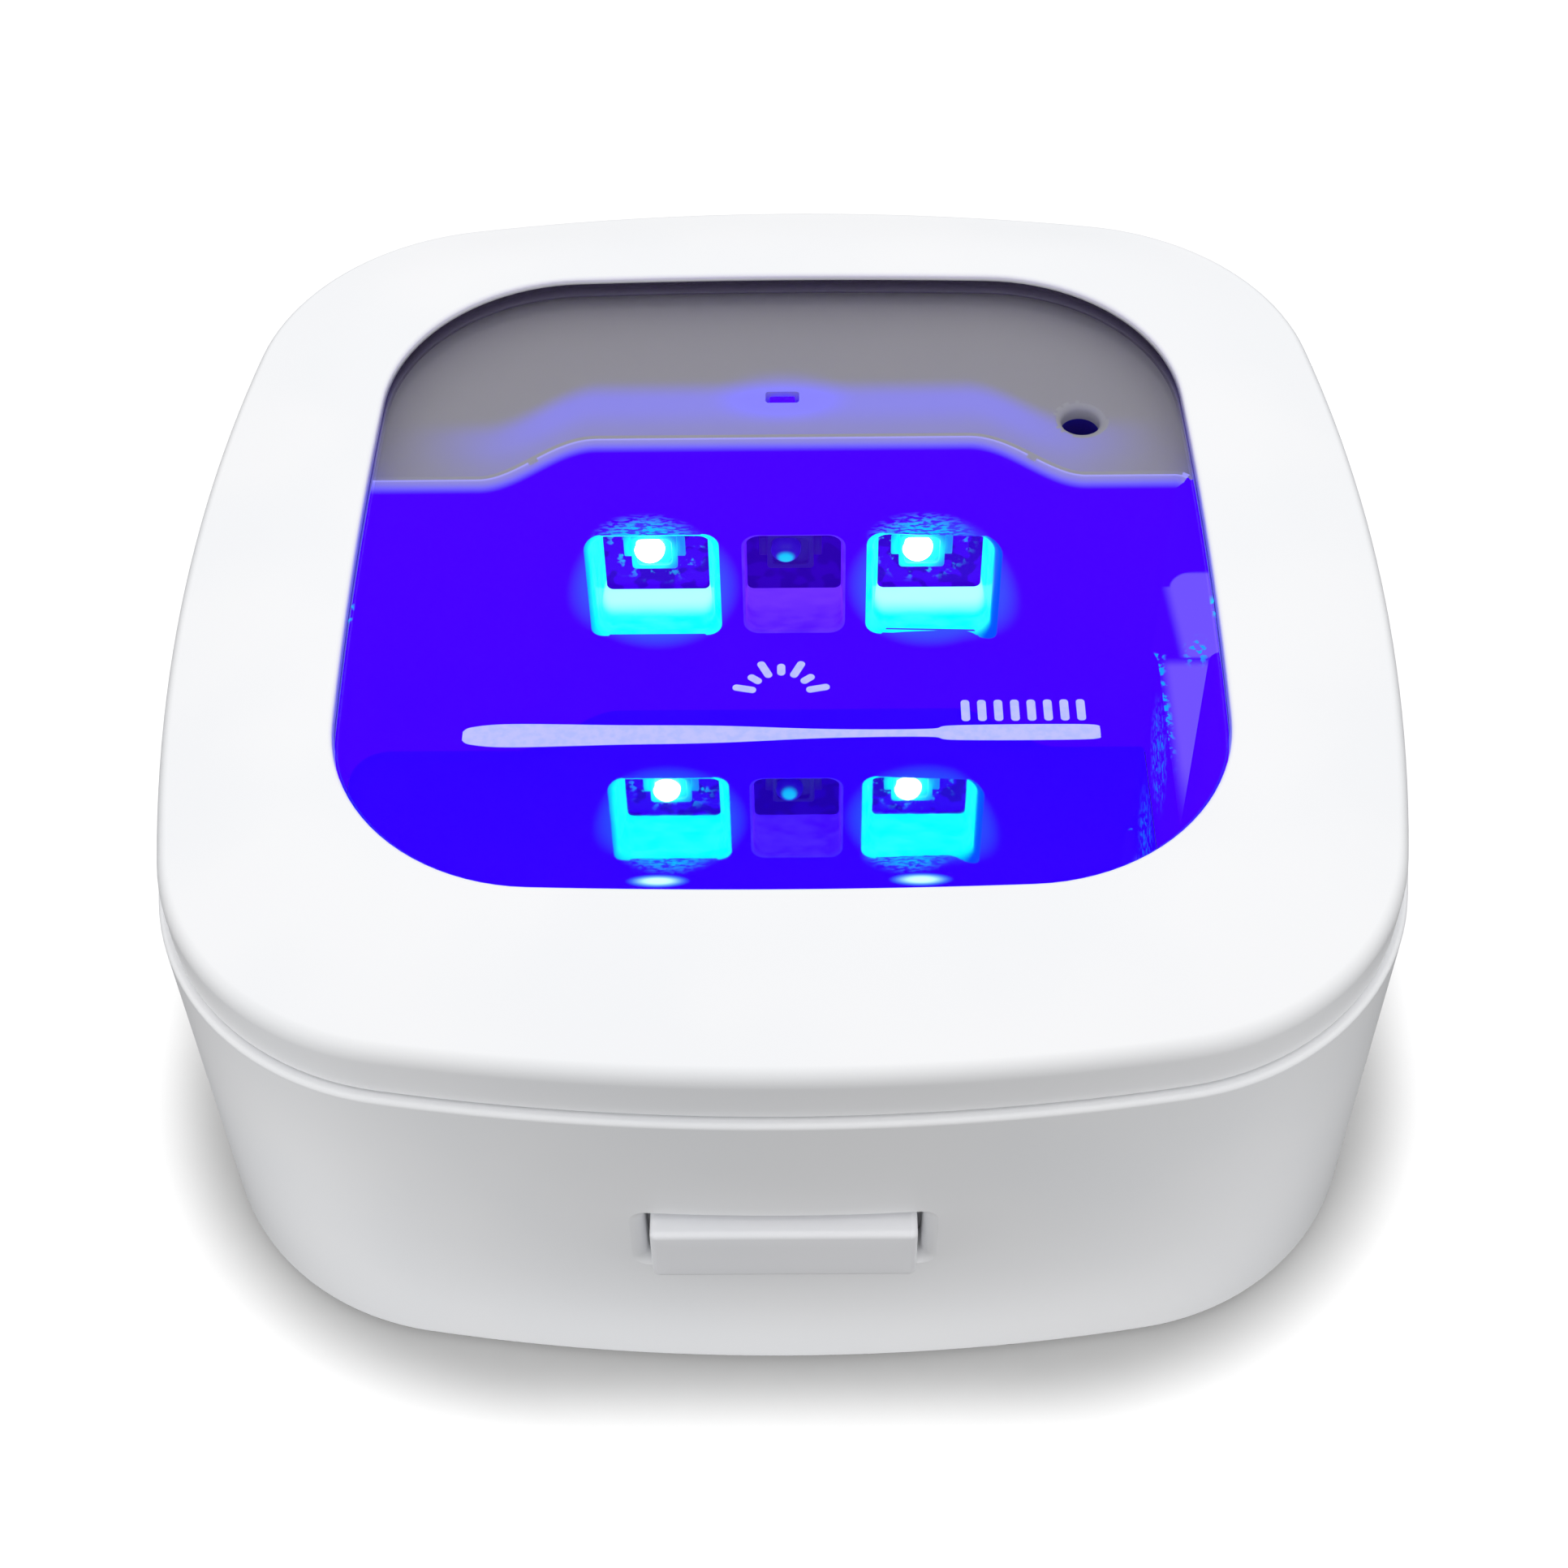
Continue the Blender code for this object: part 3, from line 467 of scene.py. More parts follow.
class Paint:
    """Builds one node material in few words.  Patterns are in millimetres on the resting part."""

    def __init__(self, name):
        self.material = bpy.data.materials.new(name)
        self.material.use_nodes = True
        self.tree = self.material.node_tree
        self.tree.nodes.clear()
        self.output = self.node("OutputMaterial")
        place = self.node("TexCoord").outputs["Object"]
        self.place = self.vector("SCALE", {"Vector": place, "Scale": 1 / MM})

    def node(self, kind, settings=None, inputs=None):
        made = self.tree.nodes.new("ShaderNode" + kind)
        for key, value in (settings or {}).items():
            setattr(made, key, value)
        for key, value in (inputs or {}).items():
            if isinstance(value, bpy.types.NodeSocket):
                self.tree.links.new(value, made.inputs[key])
            else:
                made.inputs[key].default_value = value
        return made

    def vector(self, operation, inputs, output=0):
        return self.node("VectorMath", {"operation": operation}, inputs).outputs[output]

    def maths(self, operation, first, second=0.0, clamp=False):
        settings = {"operation": operation, "use_clamp": clamp}
        return self.node("Math", settings, {0: first, 1: second}).outputs[0]

    def plus(self, first, second):
        return self.maths("ADD", first, second)

    def minus(self, first, second):
        return self.maths("SUBTRACT", first, second)

    def times(self, *values):
        """Product of several values."""
        return reduce(partial(self.maths, "MULTIPLY"), values)

    def most(self, *values):
        """Largest of several values."""
        return reduce(partial(self.maths, "MAXIMUM"), values)

    def axes(self):
        return self.node("SeparateXYZ", None, {0: self.place}).outputs

    def ease(self, value, start, end):
        """0 up to start, 1 from end, smooth between them.  start may be the larger."""
        limits = {"Value": value, "From Min": min(start, end), "From Max": max(start, end)}
        if start > end:
            limits |= {"To Min": 1.0, "To Max": 0.0}
        return self.node("MapRange", {"interpolation_type": "SMOOTHSTEP"}, limits).outputs[0]

    def noise(self, scale, detail=2.0, stretch=(1, 1, 1)):
        place = self.vector("MULTIPLY", {0: self.place, 1: stretch})
        inputs = {"Vector": place, "Scale": scale, "Detail": detail}
        return self.node("TexNoise", None, inputs).outputs["Fac"]

    def near(self, centre, inner, outer, stretch=(1, 1, 1)):
        """1 within inner of a point, 0 beyond outer.  stretch scales each axis of the distance."""
        offset = self.vector("SUBTRACT", {0: self.place, 1: centre})
        scaled = self.vector("MULTIPLY", {0: offset, 1: stretch})
        return self.ease(self.vector("LENGTH", {0: scaled}, "Value"), outer, inner)

    def from_core(self, half_x, half_y, centre_y=0.0):
        """Distance outside a centred rectangle, for soft outlines with round corners."""
        x, y, _ = self.axes()
        across = self.minus(self.maths("ABSOLUTE", x), half_x)
        along = self.minus(self.maths("ABSOLUTE", self.minus(y, centre_y)), half_y)
        reach = self.node("CombineXYZ", None, {0: self.most(across, 0.0), 1: self.most(along, 0.0)})
        return self.vector("LENGTH", {0: reach.outputs[0]}, "Value")

    def mix(self, share, first, second):
        first, second = ((*c, 1.0) if isinstance(c, tuple) else c for c in (first, second))
        return self.node("Mix", {"data_type": "RGBA"}, {0: share, 6: first, 7: second}).outputs[2]

    def traces(self):
        """Fine lines of a circuit board."""
        plain, line = (0.0, 0.0, 0.0, 1.0), (1.0, 1.0, 1.0, 1.0)
        return self.node("TexBrick", {"offset": 0.5}, {
            "Vector": self.place, "Scale": 0.9, "Mortar Size": 0.03,
            "Color1": plain, "Color2": plain, "Mortar": line,
        }).outputs["Fac"]

    def coat(self, colour, roughness, relief=None, gloss=0.5, glow=None, light=1.0, metal=0.0):
        """Ends the material with one surface.  relief is a height pattern, its depth and its strength."""
        inputs = {
            "Base Color": (*colour, 1.0) if isinstance(colour, tuple) else colour,
            "Roughness": roughness, "Specular IOR Level": gloss, "Metallic": metal,
        }
        if relief:
            height, depth, strength = relief
            bump = {"Height": height, "Distance": depth * MM, "Strength": strength}
            inputs["Normal"] = self.node("Bump", None, bump).outputs[0]
        if glow is not None:
            inputs |= {"Emission Color": glow, "Emission Strength": light}
        return self.surface(self.node("BsdfPrincipled", None, inputs).outputs[0])

    def clear(self, tint, gloss_tint, roughness, amount):
        """See-through surface with a share of gloss."""
        through = self.node("BsdfTransparent", None, {"Color": tint}).outputs[0]
        gloss = self.node("BsdfGlossy", None, {"Color": (*gloss_tint, 1.0), "Roughness": roughness})
        return self.node("MixShader", None, {0: amount, 1: through, 2: gloss.outputs[0]}).outputs[0]

    def surface(self, socket):
        self.tree.links.new(socket, self.output.inputs["Surface"])
        return self.material


def moulded(name, tone, shade, roughness, grain_depth=0.006):
    """Injection-moulded plastic: faint tone drift, fine eroded grain, uneven gloss."""
    paint = Paint(name)
    drift = paint.ease(paint.noise(0.06), 0.35, 0.65)
    grain = paint.noise(5.5, 3.0)
    uneven = paint.plus(paint.times(grain, 0.10), roughness - 0.05)
    return paint.coat(paint.mix(drift, tone, shade), uneven, (grain, grain_depth, 0.5), 0.35)


def lit_chamber(name):
    """White chamber plastic with painted lamp light: a violet glow brightening upwards, painted cyan splashes
    and bloom by the side lamps, painted cyan specks low on the right wall, and paler painted light with a
    highlight line on the shelf's round edge.
    """
    paint = Paint(name)
    x, y, z = paint.axes()
    # Painted lamp light: the violet glow grows brighter upwards, with a little noise.
    lift = paint.plus(paint.ease(z, 0.0, 30.0), paint.times(paint.noise(0.12), 0.3))
    glow = paint.mix(paint.maths("MULTIPLY", lift, 0.8, True), (0.080, 0.0, 1.85), (0.101, 0.0, 1.90))
    streaks = paint.ease(paint.noise(1.5, 6.0, (1.0, 1.0, 3.2)), 0.46, 0.56)
    # Painted splash of cyan lamp light on the wall above each side lamp.
    painted_splash = paint.most(*[
        paint.near((LAMP_PLACES[side] - 0.3, 14.5, 21.2), 1.0, 3.6, (0.85, 0.0, 1.3)) for side in (-1, 1)
    ])
    glow = paint.mix(paint.times(painted_splash, streaks), glow, (0.0, 1.1, 1.9))
    # Painted bloom of lamp light round the side cups.
    painted_bloom = paint.most(*[
        paint.near((CUP_PLACES[side], 14.5, CUP_Z), 4.8, 6.6, (1.0, 0.0, 0.94)) for side in (-1, 1)
    ])
    glow = paint.mix(paint.times(painted_bloom, 0.28), glow, (0.0, 0.45, 1.9))
    # Painted cyan specks of reflected lamp light low on the right wall.
    low_right_glints = paint.times(paint.ease(x, 27.4, 27.5), paint.near((27.6, 5.0, 8.0), 1.5, 5.0))
    painted_glint_specks = paint.ease(paint.noise(2.2, 6.0), 0.52, 0.60)
    glow = paint.mix(paint.times(painted_glint_specks, low_right_glints), glow, (0.0, 0.30, 1.9))
    # Painted paler light on the shelf's round edge, and a painted highlight line along its top.
    edge = paint.times(paint.ease(z, 29.6, 30.45), paint.ease(y, 8.6, 9.6))
    glow = paint.mix(edge, glow, (0.24, 0.22, 0.80))
    glow = paint.mix(paint.times(paint.ease(z, 30.38, 30.43), edge), glow, (0.40, 0.38, 1.2))
    # Dark violet base colour for the white plastic, so that only the painted lamp light shows; grey on the
    # round edge.
    colour = paint.mix(edge, (0.02, 0.0, 0.20), (0.40, 0.40, 0.45))
    return paint.coat(colour, 0.45, (paint.noise(4.0), 0.01, 0.4), paint.times(edge, 0.3), glow)


def lit_passage(name):
    """The neck passage with painted light: a violet lamp glow, painted paler patches on its floor and rear
    wall for daylight from outside, and painted cyan specks at its sill and foot.
    """
    paint = Paint(name)
    x, y, z = paint.axes()
    # Painted daylight patches on the passage floor and its rear wall, for light coming in from outside.
    floor_daylight_patch = paint.times(paint.ease(y, -6.5, 0.5), paint.ease(x, 27.5, 28.6), paint.ease(y, 10.4, 9.6))
    slant = paint.plus(x, paint.times(z, 0.28))
    round_corner = paint.near((29.2, 10.5, 20.1), 1.4, 1.6, (1.0, 0.0, 1.0))
    beyond = paint.most(paint.ease(x, 29.1, 29.3), paint.ease(z, 20.2, 20.0))
    wall_daylight_patch = paint.times(
        paint.ease(slant, 32.6, 33.6), paint.ease(z, 21.7, 21.3), paint.ease(z, 12.7, 12.9),
        paint.most(round_corner, beyond),
    )
    share = paint.node("Mix", {"data_type": "FLOAT"}, {
        0: paint.ease(y, 10.25, 10.4), 2: floor_daylight_patch, 3: wall_daylight_patch
    }).outputs[0]
    glow = paint.mix(paint.times(share, 0.95), (0.092, 0.0, 1.88), (0.27, 0.15, 1.75))
    # Painted cyan glints of lamp light at the sill and at the foot of the rear wall.
    sill_glints = paint.times(paint.ease(x, 28.2, 27.8), paint.ease(y, -1.0, 5.0), paint.ease(z, 13.4, 13.1))
    foot = paint.near((30.4, 10.5, 13.5), 0.4, 1.3, (1.0, 1.0, 0.7))
    painted_glint_specks = paint.ease(paint.noise(2.0, 6.0), 0.52, 0.58)
    glow = paint.mix(paint.times(painted_glint_specks, paint.most(foot, sill_glints)), glow, (0.0, 0.60, 1.9))
    # Dark violet base colour, so that only the painted lamp light shows.
    return paint.coat((0.03, 0.0, 0.2), 0.45, (paint.noise(4.0), 0.01, 0.4), 0.02, glow)


def shelf(name):
    """The tray's white top, with a painted violet glow behind the lamp wall and round the light pipe's slit,
    for lamp light scattered up through it.
    """
    paint = Paint(name)
    x, y, _ = paint.axes()
    across = paint.maths("ABSOLUTE", x)
    wave = paint.times(paint.ease(across, WAVE_OUTER_X, WAVE_INNER_X), LAMP_WALL_MID_Y - LAMP_WALL_SIDE_Y)
    behind = paint.minus(y, paint.plus(wave, LAMP_WALL_SIDE_Y))
    # Painted glow in a band behind the wavy lamp wall.
    halo = paint.times(
        paint.plus(paint.times(paint.ease(behind, 0.8, 4.0), 0.5), 0.5),
        paint.ease(behind, 7.0, 4.6), paint.ease(across, 28.0, 15.0), paint.ease(behind, -2.0, -1.0),
    )
    # Painted glow round the light pipe's slit.
    core = paint.near((0.0, 19.4, SHELF_Z), 0.8, 4.6, (0.8, 1.4, 1.0))
    strength = paint.plus(paint.times(halo, 0.5), paint.times(core, 0.45))
    plain = paint.mix(paint.noise(0.08), (0.71, 0.71, 0.75), (0.74, 0.73, 0.74))
    # The painted glow also tints the base colour blue.
    colour = paint.mix(paint.maths("MULTIPLY", strength, 0.6, True), plain, (0.35, 0.30, 0.80))
    grain = (paint.noise(5.0, 3.0), 0.006, 0.5)
    return paint.coat(colour, 0.45, grain, 0.3, (0.10, 0.09, 1.6, 1.0), strength)


def pipe_light(name):
    """Tip of the light pipe, lit violet."""
    paint = Paint(name)
    glow = paint.mix(paint.noise(1.5), (0.09, 0.0, 1.9), (0.13, 0.0, 1.9))
    return paint.coat((0.03, 0.0, 0.3), 0.2, gloss=0.05, glow=glow)


def cup_glow(name, bright, dull, hot):
    """Lamp cup with painted lamp light: a glow brightest beside the lamp, with a painted hot highlight on its
    floor, fading out at the rounded front rim.
    """
    paint = Paint(name)
    streak = paint.noise(0.5, 2.0, (1.0, 3.0, 1.0))
    inner = paint.mix(paint.ease(streak, 0.3, 0.8), bright, dull)
    # Painted hot highlight on the cup's floor near the lamp.
    shine = paint.near((0.0, 18.0, CUP_Z - 5.0), 0.6, 2.2, (0.0, 1.0, 1.0))
    inner = paint.mix(paint.times(shine, 0.6), inner, hot)
    glow = paint.mix(paint.ease(paint.axes()[1], 13.95, 14.75), (0.0, 0.12, 1.9), inner)
    return paint.coat((0.0, 0.05, 0.2), 0.25, (paint.noise(3.0), 0.02, 0.4), 0.05, glow)


def mirror(name):
    """Bluish mirror foil with faint waves."""
    paint = Paint(name)
    colour = paint.mix(paint.noise(0.1), (0.55, 0.86, 0.98), (0.50, 0.84, 0.97))
    haze = paint.times(paint.noise(1.5, 3.0), 0.05)
    return paint.coat(colour, haze, (paint.noise(0.5), 0.004, 0.3), metal=1.0)


def lens_glass(name):
    """Smoke-tinted clear acrylic with a weak violet sheen, and painted lamp glints (emission) at spots along
    its border and at its front edge.
    """
    paint = Paint(name)
    tint = paint.mix(paint.noise(0.1), (0.775, 0.775, 0.785), (0.785, 0.785, 0.795))
    facing = paint.node("LayerWeight", None, {"Blend": 0.5}).outputs["Facing"]
    amount = paint.plus(paint.times(paint.maths("POWER", facing, 5.0), 0.5), 0.003)
    body = paint.clear(tint, (0.50, 0.15, 1.0), 0.03, amount)
    # Painted glints: speckled spots along the side borders and two spots at the front edge.
    border = paint.ease(paint.from_core(14.6, 15.0, WINDOW_Y), 12.85, 13.1)
    border_glint_spots = paint.most(*[
        paint.near((0.0, y, LENS_TOP_Z), inner, outer, (0.0, 1.0, 1.0))
        for y, inner, outer in ((-4.2, 0.3, 1.1), (-17.0, 0.8, 2.6))
    ])
    painted_glint_specks = paint.ease(paint.noise(1.3, 5.0), 0.50, 0.56)
    ahead = paint.most(*[
        paint.near((x, -26.35, LENS_TOP_Z), 0.3, 1.6, (0.8, 3.0, 1.0)) for x in (-7.2, 8.2)
    ])
    share = paint.most(paint.times(painted_glint_specks, border_glint_spots, border), ahead)
    colour = paint.mix(ahead, (0.0, 0.55, 1.0), (0.55, 1.0, 1.0))
    glint = paint.node("Emission", None, {"Color": colour, "Strength": 1.3}).outputs[0]
    return paint.surface(paint.node("MixShader", None, {0: share, 1: body, 2: glint}).outputs[0])


def lens_edge(name):
    """Cut edge of the lens, its tint painted: dark at its top, clearing downwards, and darker towards the
    rear, for the shade under the frame.
    """
    paint = Paint(name)
    _, y, z = paint.axes()
    # Painted shade: the tint darkens towards the rear and at the edge's top.
    rear = paint.ease(y, 12.0, 22.0)
    upper = paint.mix(rear, (0.30, 0.26, 0.60), (0.12, 0.11, 0.14))
    lower = paint.mix(rear, (0.90, 0.90, 1.0), (0.34, 0.33, 0.37))
    tint = paint.mix(paint.ease(z, LENS_TOP_Z - 0.05, LID_UNDER_Z + 0.1), upper, lower)
    return paint.surface(paint.clear(tint, (0.75, 0.72, 1.0), 0.12, 0.06))


def print_ink(name):
    """Pale lavender print, slightly thin in places, with a painted bluish glow for the lamp light from below.
    """
    paint = Paint(name)
    thin = paint.ease(paint.noise(2.2, 3.0), 0.35, 0.7)
    colour = paint.mix(thin, (0.50, 0.50, 0.62), (0.42, 0.46, 0.62))
    return paint.coat(colour, 0.6, (paint.noise(7.0), 0.01, 0.5), 0.1, (0.0, 0.02, 0.45, 1.0), 0.8)


def metal(name, tone, roughness):
    """Drawn metal with fine lines along one axis."""
    paint = Paint(name)
    lines = paint.noise(2.0, 4.0, (1, 1, 12))
    colour = paint.mix(lines, tone, tuple(0.8 * c for c in tone))
    uneven = paint.plus(paint.times(lines, 0.15), roughness)
    return paint.coat(colour, uneven, (lines, 0.004, 0.4), metal=1.0)


def soft_solid(name, tone, shade, roughness, scale, depth):
    """Matt body with a visible grain, for rubber, foam, resin and sleeves."""
    paint = Paint(name)
    grain = paint.noise(scale, 4.0)
    return paint.coat(paint.mix(grain, tone, shade), roughness, (grain, depth, 0.7))


def lamp_board(name):
    """Dark solder resist with fine traces, and painted lamp light on its front: a patchy violet glow, dimmer
    by the middle lamp, with painted cyan patches round each side lamp.
    """
    paint = Paint(name)
    x, y, _ = paint.axes()
    traces = paint.traces()
    front = paint.ease(y, 19.2, 19.0)
    # Painted cyan patches of lamp light round each side lamp.
    lit = paint.most(*[paint.near((LAMP_PLACES[side], 18.9, LAMP_Z), 1.6, 4.4) for side in (-1, 1)])
    painted_cyan_patches = paint.times(paint.ease(paint.noise(1.3, 4.0), 0.57, 0.64), lit, front)
    parts = paint.ease(paint.noise(0.7, 1.0), 0.50, 0.56)
    # Painted violet glow on the front, patchy, and dimmer beside the middle lamp.
    glow = paint.mix(parts, (0.085, 0.0, 1.45), (0.050, 0.0, 0.95))
    dimmer_by_middle_lamp = paint.ease(paint.maths("ABSOLUTE", paint.minus(x, CUP_PLACES[0])), 5.0, 4.4)
    glow = paint.mix(paint.times(dimmer_by_middle_lamp, 0.6), glow, (0.02, 0.0, 0.35))
    glow = paint.mix(painted_cyan_patches, glow, (0.0, 1.3, 1.9))
    # The front's base colour is a dark violet, so that only the painted glow shows.
    colour = paint.mix(front, paint.mix(traces, (0.015, 0.07, 0.05), (0.03, 0.16, 0.09)), (0.01, 0.0, 0.05))
    gloss = paint.minus(0.4, paint.times(front, 0.38))
    return paint.coat(colour, 0.4, (traces, 0.03, 0.6), gloss, glow, front)


def circuit_board(name):
    """Green solder resist with fine traces."""
    paint = Paint(name)
    traces = paint.traces()
    colour = paint.mix(traces, (0.015, 0.10, 0.06), (0.03, 0.22, 0.12))
    return paint.coat(colour, 0.35, (traces, 0.03, 0.6))


def lamp_face(name, inner, outer, core=1.2, reach=2.2):
    """Glowing front of a lamp, for its dome and, as painted lamp light and bloom, for its package: inner
    colour within core of any lamp's axis, outer beyond reach.
    """
    paint = Paint(name)
    centre = paint.most(*[
        paint.near((x - 0.35, 17.6, LAMP_Z), core, reach, (1.0, 0.4, 1.0)) for x in LAMP_PLACES.values()
    ])
    glow = paint.mix(centre, outer, inner)
    return paint.coat((0.05, 0.05, 0.1), 0.3, (paint.noise(3.0), 0.02, 0.5), glow=glow)


WHITE = moulded("white_plastic", (0.865, 0.875, 0.895), (0.885, 0.890, 0.905), 0.42)
BUTTON_WHITE = moulded("button_plastic", (0.86, 0.87, 0.90), (0.88, 0.885, 0.91), 0.36)
COVER_WHITE = moulded("cover_plastic", (0.80, 0.81, 0.83), (0.83, 0.84, 0.85), 0.50, 0.015)
TRAY_WHITE = moulded("tray_plastic", (0.78, 0.79, 0.82), (0.82, 0.82, 0.84), 0.40)
SHELF = shelf("tray_shelf")
LAMP_LIT_VIOLET = lit_chamber("lit_chamber_plastic")
PASSAGE = lit_passage("lit_passage_plastic")
PIPE = pipe_light("lit_light_pipe")
# The cups glow with painted lamp light.
CUP = cup_glow("lit_cup", (0.0, 1.9, 2.0), (0.05, 2.1, 2.1), (1.3, 2.3, 2.3))
MIDDLE_CUP = cup_glow("dim_cup", (0.22, 0.03, 1.75), (0.15, 0.0, 1.65), (0.30, 0.06, 1.8))
MIRROR = mirror("mirror_foil")
LENS = lens_glass("lens_acrylic")
LENS_EDGE = lens_edge("lens_cut_edge")
INK = print_ink("lavender_ink")
STEEL = metal("steel", (0.62, 0.62, 0.64), 0.22)
GOLD = metal("gold_contact", (0.80, 0.55, 0.22), 0.2)
SOLDER = metal("solder", (0.70, 0.70, 0.72), 0.3)
CHIP = soft_solid("chip_resin", (0.018, 0.018, 0.020), (0.035, 0.035, 0.038), 0.45, 6.0, 0.01)
CERAMIC = soft_solid("lamp_ceramic", (0.75, 0.73, 0.66), (0.82, 0.80, 0.74), 0.35, 3.0, 0.01)
RUBBER = soft_solid("grey_rubber", (0.42, 0.43, 0.45), (0.52, 0.53, 0.55), 0.8, 5.0, 0.03)
FOAM = soft_solid("grey_foam", (0.18, 0.18, 0.20), (0.32, 0.32, 0.34), 0.95, 2.5, 0.25)
CELL = soft_solid("cell_sleeve", (0.08, 0.24, 0.55), (0.12, 0.30, 0.62), 0.3, 0.8, 0.01)
# Painted shade: a dark blue coat for the screw well's wall below the shelf.
PAINTED_WELL_SHADE = soft_solid("shadowed_well", (0.002, 0.003, 0.45), (0.004, 0.005, 0.60), 0.6, 3.0, 0.01)
RED = soft_solid("red_insulation", (0.58, 0.03, 0.03), (0.70, 0.05, 0.04), 0.4, 1.5, 0.01)
BLACK = soft_solid("black_insulation", (0.02, 0.02, 0.02), (0.04, 0.04, 0.04), 0.4, 1.5, 0.01)
LAMP_BOARD = lamp_board("lamp_board_resist")
BOARD = circuit_board("circuit_board_resist")
# The cores light the lamp domes; the package skins are painted lamp light and bloom on the packages.
LAMP_CORE = lamp_face("lamp_core", (6.0, 9.0, 9.0), (0.6, 4.0, 4.0), 1.3, 1.9)
LAMP_BODY = lamp_face("lamp_package", (0.0, 2.0, 2.0), (0.02, 0.4, 1.4), 1.4, 2.5)
DIM_CORE = lamp_face("dim_lamp_core", (0.0, 1.0, 1.6), (0.03, 0.0, 0.7), 0.35, 0.8)
DIM_BODY = lamp_face("dim_lamp_package", (0.03, 0.0, 0.60), (0.03, 0.0, 0.42), 0.5, 1.5)


# --- base

def make_base_skin():
    edge, step, arc_steps = 0.32, 0.35, 6
    rings = []
    for i in range(4):
        turn = radians(30 * i)
        rings.append((base_outline(step * (1 - sin(turn))), FOOT_DROP + step * (1 - cos(turn))))
    rings += [(base_outline(), z) for z in (6.0, 11.0, 19.0, 23.0)]
    for i in range(arc_steps + 1):
        turn = radians(90 * i / arc_steps)
        rings.append((base_outline(edge * (1 - cos(turn))), RIM_Z - edge + edge * sin(turn)))
    rings += [
        (base_outline(BASE_WALL - 0.15), RIM_Z),
        (base_outline(BASE_WALL), RIM_Z - 0.15),
        (base_outline(BASE_WALL), FOOT_DROP),
    ]
    skin = loft(rings)
    for x, y in corners(BOSS_AT).values():
        boss = rod((x, y, 7.2), BOSS_RADIUS, 9.4, steps=32)
        cut_rod(boss, (x, y, 5.0), 1.0, 9.0, steps=24)
        join(skin, boss)
    middle = LID_KNUCKLE_HALF + GAP + BASE_KNUCKLE_LENGTH / 2
    for side in (-1, 1):
        knuckle = (side * middle, HINGE_Y, HINGE_Z)
        join(skin, rod(knuckle, KNUCKLE_RADIUS, BASE_KNUCKLE_LENGTH, "X", 0.25, 48))
    gap_half = LID_KNUCKLE_HALF + GAP
    cut_block(skin, (-gap_half, gap_half), (37.0, 43.0), (23.8, 28.6))
    cut_rod(skin, (0, HINGE_Y, HINGE_Z), BORE_RADIUS, 34.9, "X")
    notch = rounded_rectangle((PASSAGE_FRONT_Y, LAMP_WALL_SIDE_Y), (PASSAGE_FLOOR_Z, 30.0), 0.6)
    combine(skin, along_axis("X", notch, (36.0, 42.0)))
    combine(skin, button_hole())
    combine(skin, along_axis("Y", rounded_rectangle((-4.9, 4.9), (6.9, 10.9), 1.6), (36.0, 42.0)))
    finish_piece("base_skin", skin, WHITE, "base", ["base_shell"])


def button_hole():
    """Cutter for the button's hole: its ends open into the bowed wall in a soft round flare."""
    half, low, high = BUTTON_HALF + 0.35, BUTTON_Z[0] - 0.30, BUTTON_Z[1] + 0.35
    flare_side, flare_rise, depth, arc_steps = 1.05, 0.35, 0.9, 8
    rings = []

    def ring(y, side, rise):
        points = rounded_rectangle((-half - side, half + side), (low - rise, high + rise), 0.7 + rise)
        bow = [SIDE_RADIUS - sqrt(SIDE_RADIUS ** 2 - x ** 2) for x, _ in points]
        return [(x, y + dy, z) for (x, z), dy in zip(points, bow)]

    rings.append(ring(-35.5, 0.0, 0.0))
    for i in range(arc_steps):
        turn = radians(82 * i / (arc_steps - 1))
        share = 1 - cos(turn)
        rings.append(ring(-BASE_HALF + depth * (1 - sin(turn)), flare_side * share, flare_rise * share))
    last = 1 - cos(radians(82))
    rings.append(ring(-BASE_HALF - 1.2, flare_side * last * 1.1, flare_rise * last * 1.1))
    return skin_rings(rings)


def make_bottom_cover():
    low, high = FOOT_DROP, FOOT_DROP + COVER_THICK
    holes = [circle(place, 1.0, 24) for place in corners(BOSS_AT).values()]
    cover = plate(base_outline(BASE_WALL + GAP), holes, low, high, 0.12)
    for x, y in corners(BOSS_AT).values():
        cut_rod(cover, (x, y, 0.9), 1.9, 1.4)
    for x, y in corners(FOOT_AT).values():
        cut_rod(cover, (x, y, 0.6), 3.8, 1.0)
    for radius in (9.0, 7.6):
        ring = rod((0, 0, low), radius, 0.5, edge=0.0, steps=64)
        cut_rod(ring, (0, 0, low), radius - 0.5, 2.0, steps=64)
        combine(cover, ring)
    finish_piece("underside_cover", cover, COVER_WHITE, "base", ["bottom_cover"])


def make_feet():
    for name, (x, y) in corners(FOOT_AT).items():
        profile = [
            (3.5, 0.78), (3.5, 0.25), (3.42, 0.1), (3.25, 0.02), (3.0, 0.0), (2.6, 0.0), (2.45, 0.16),
            (2.2, 0.16), (2.05, 0.0), (1.5, 0.0), (1.35, 0.16), (1.1, 0.16), (0.95, 0.0), (0.3, 0.0),
        ]
        foot = lathe(list(reversed(profile)), (x, y, 0.0))
        finish_piece(f"rubber_foot_{name}", foot, RUBBER, "base", [f"foot_{name}"])


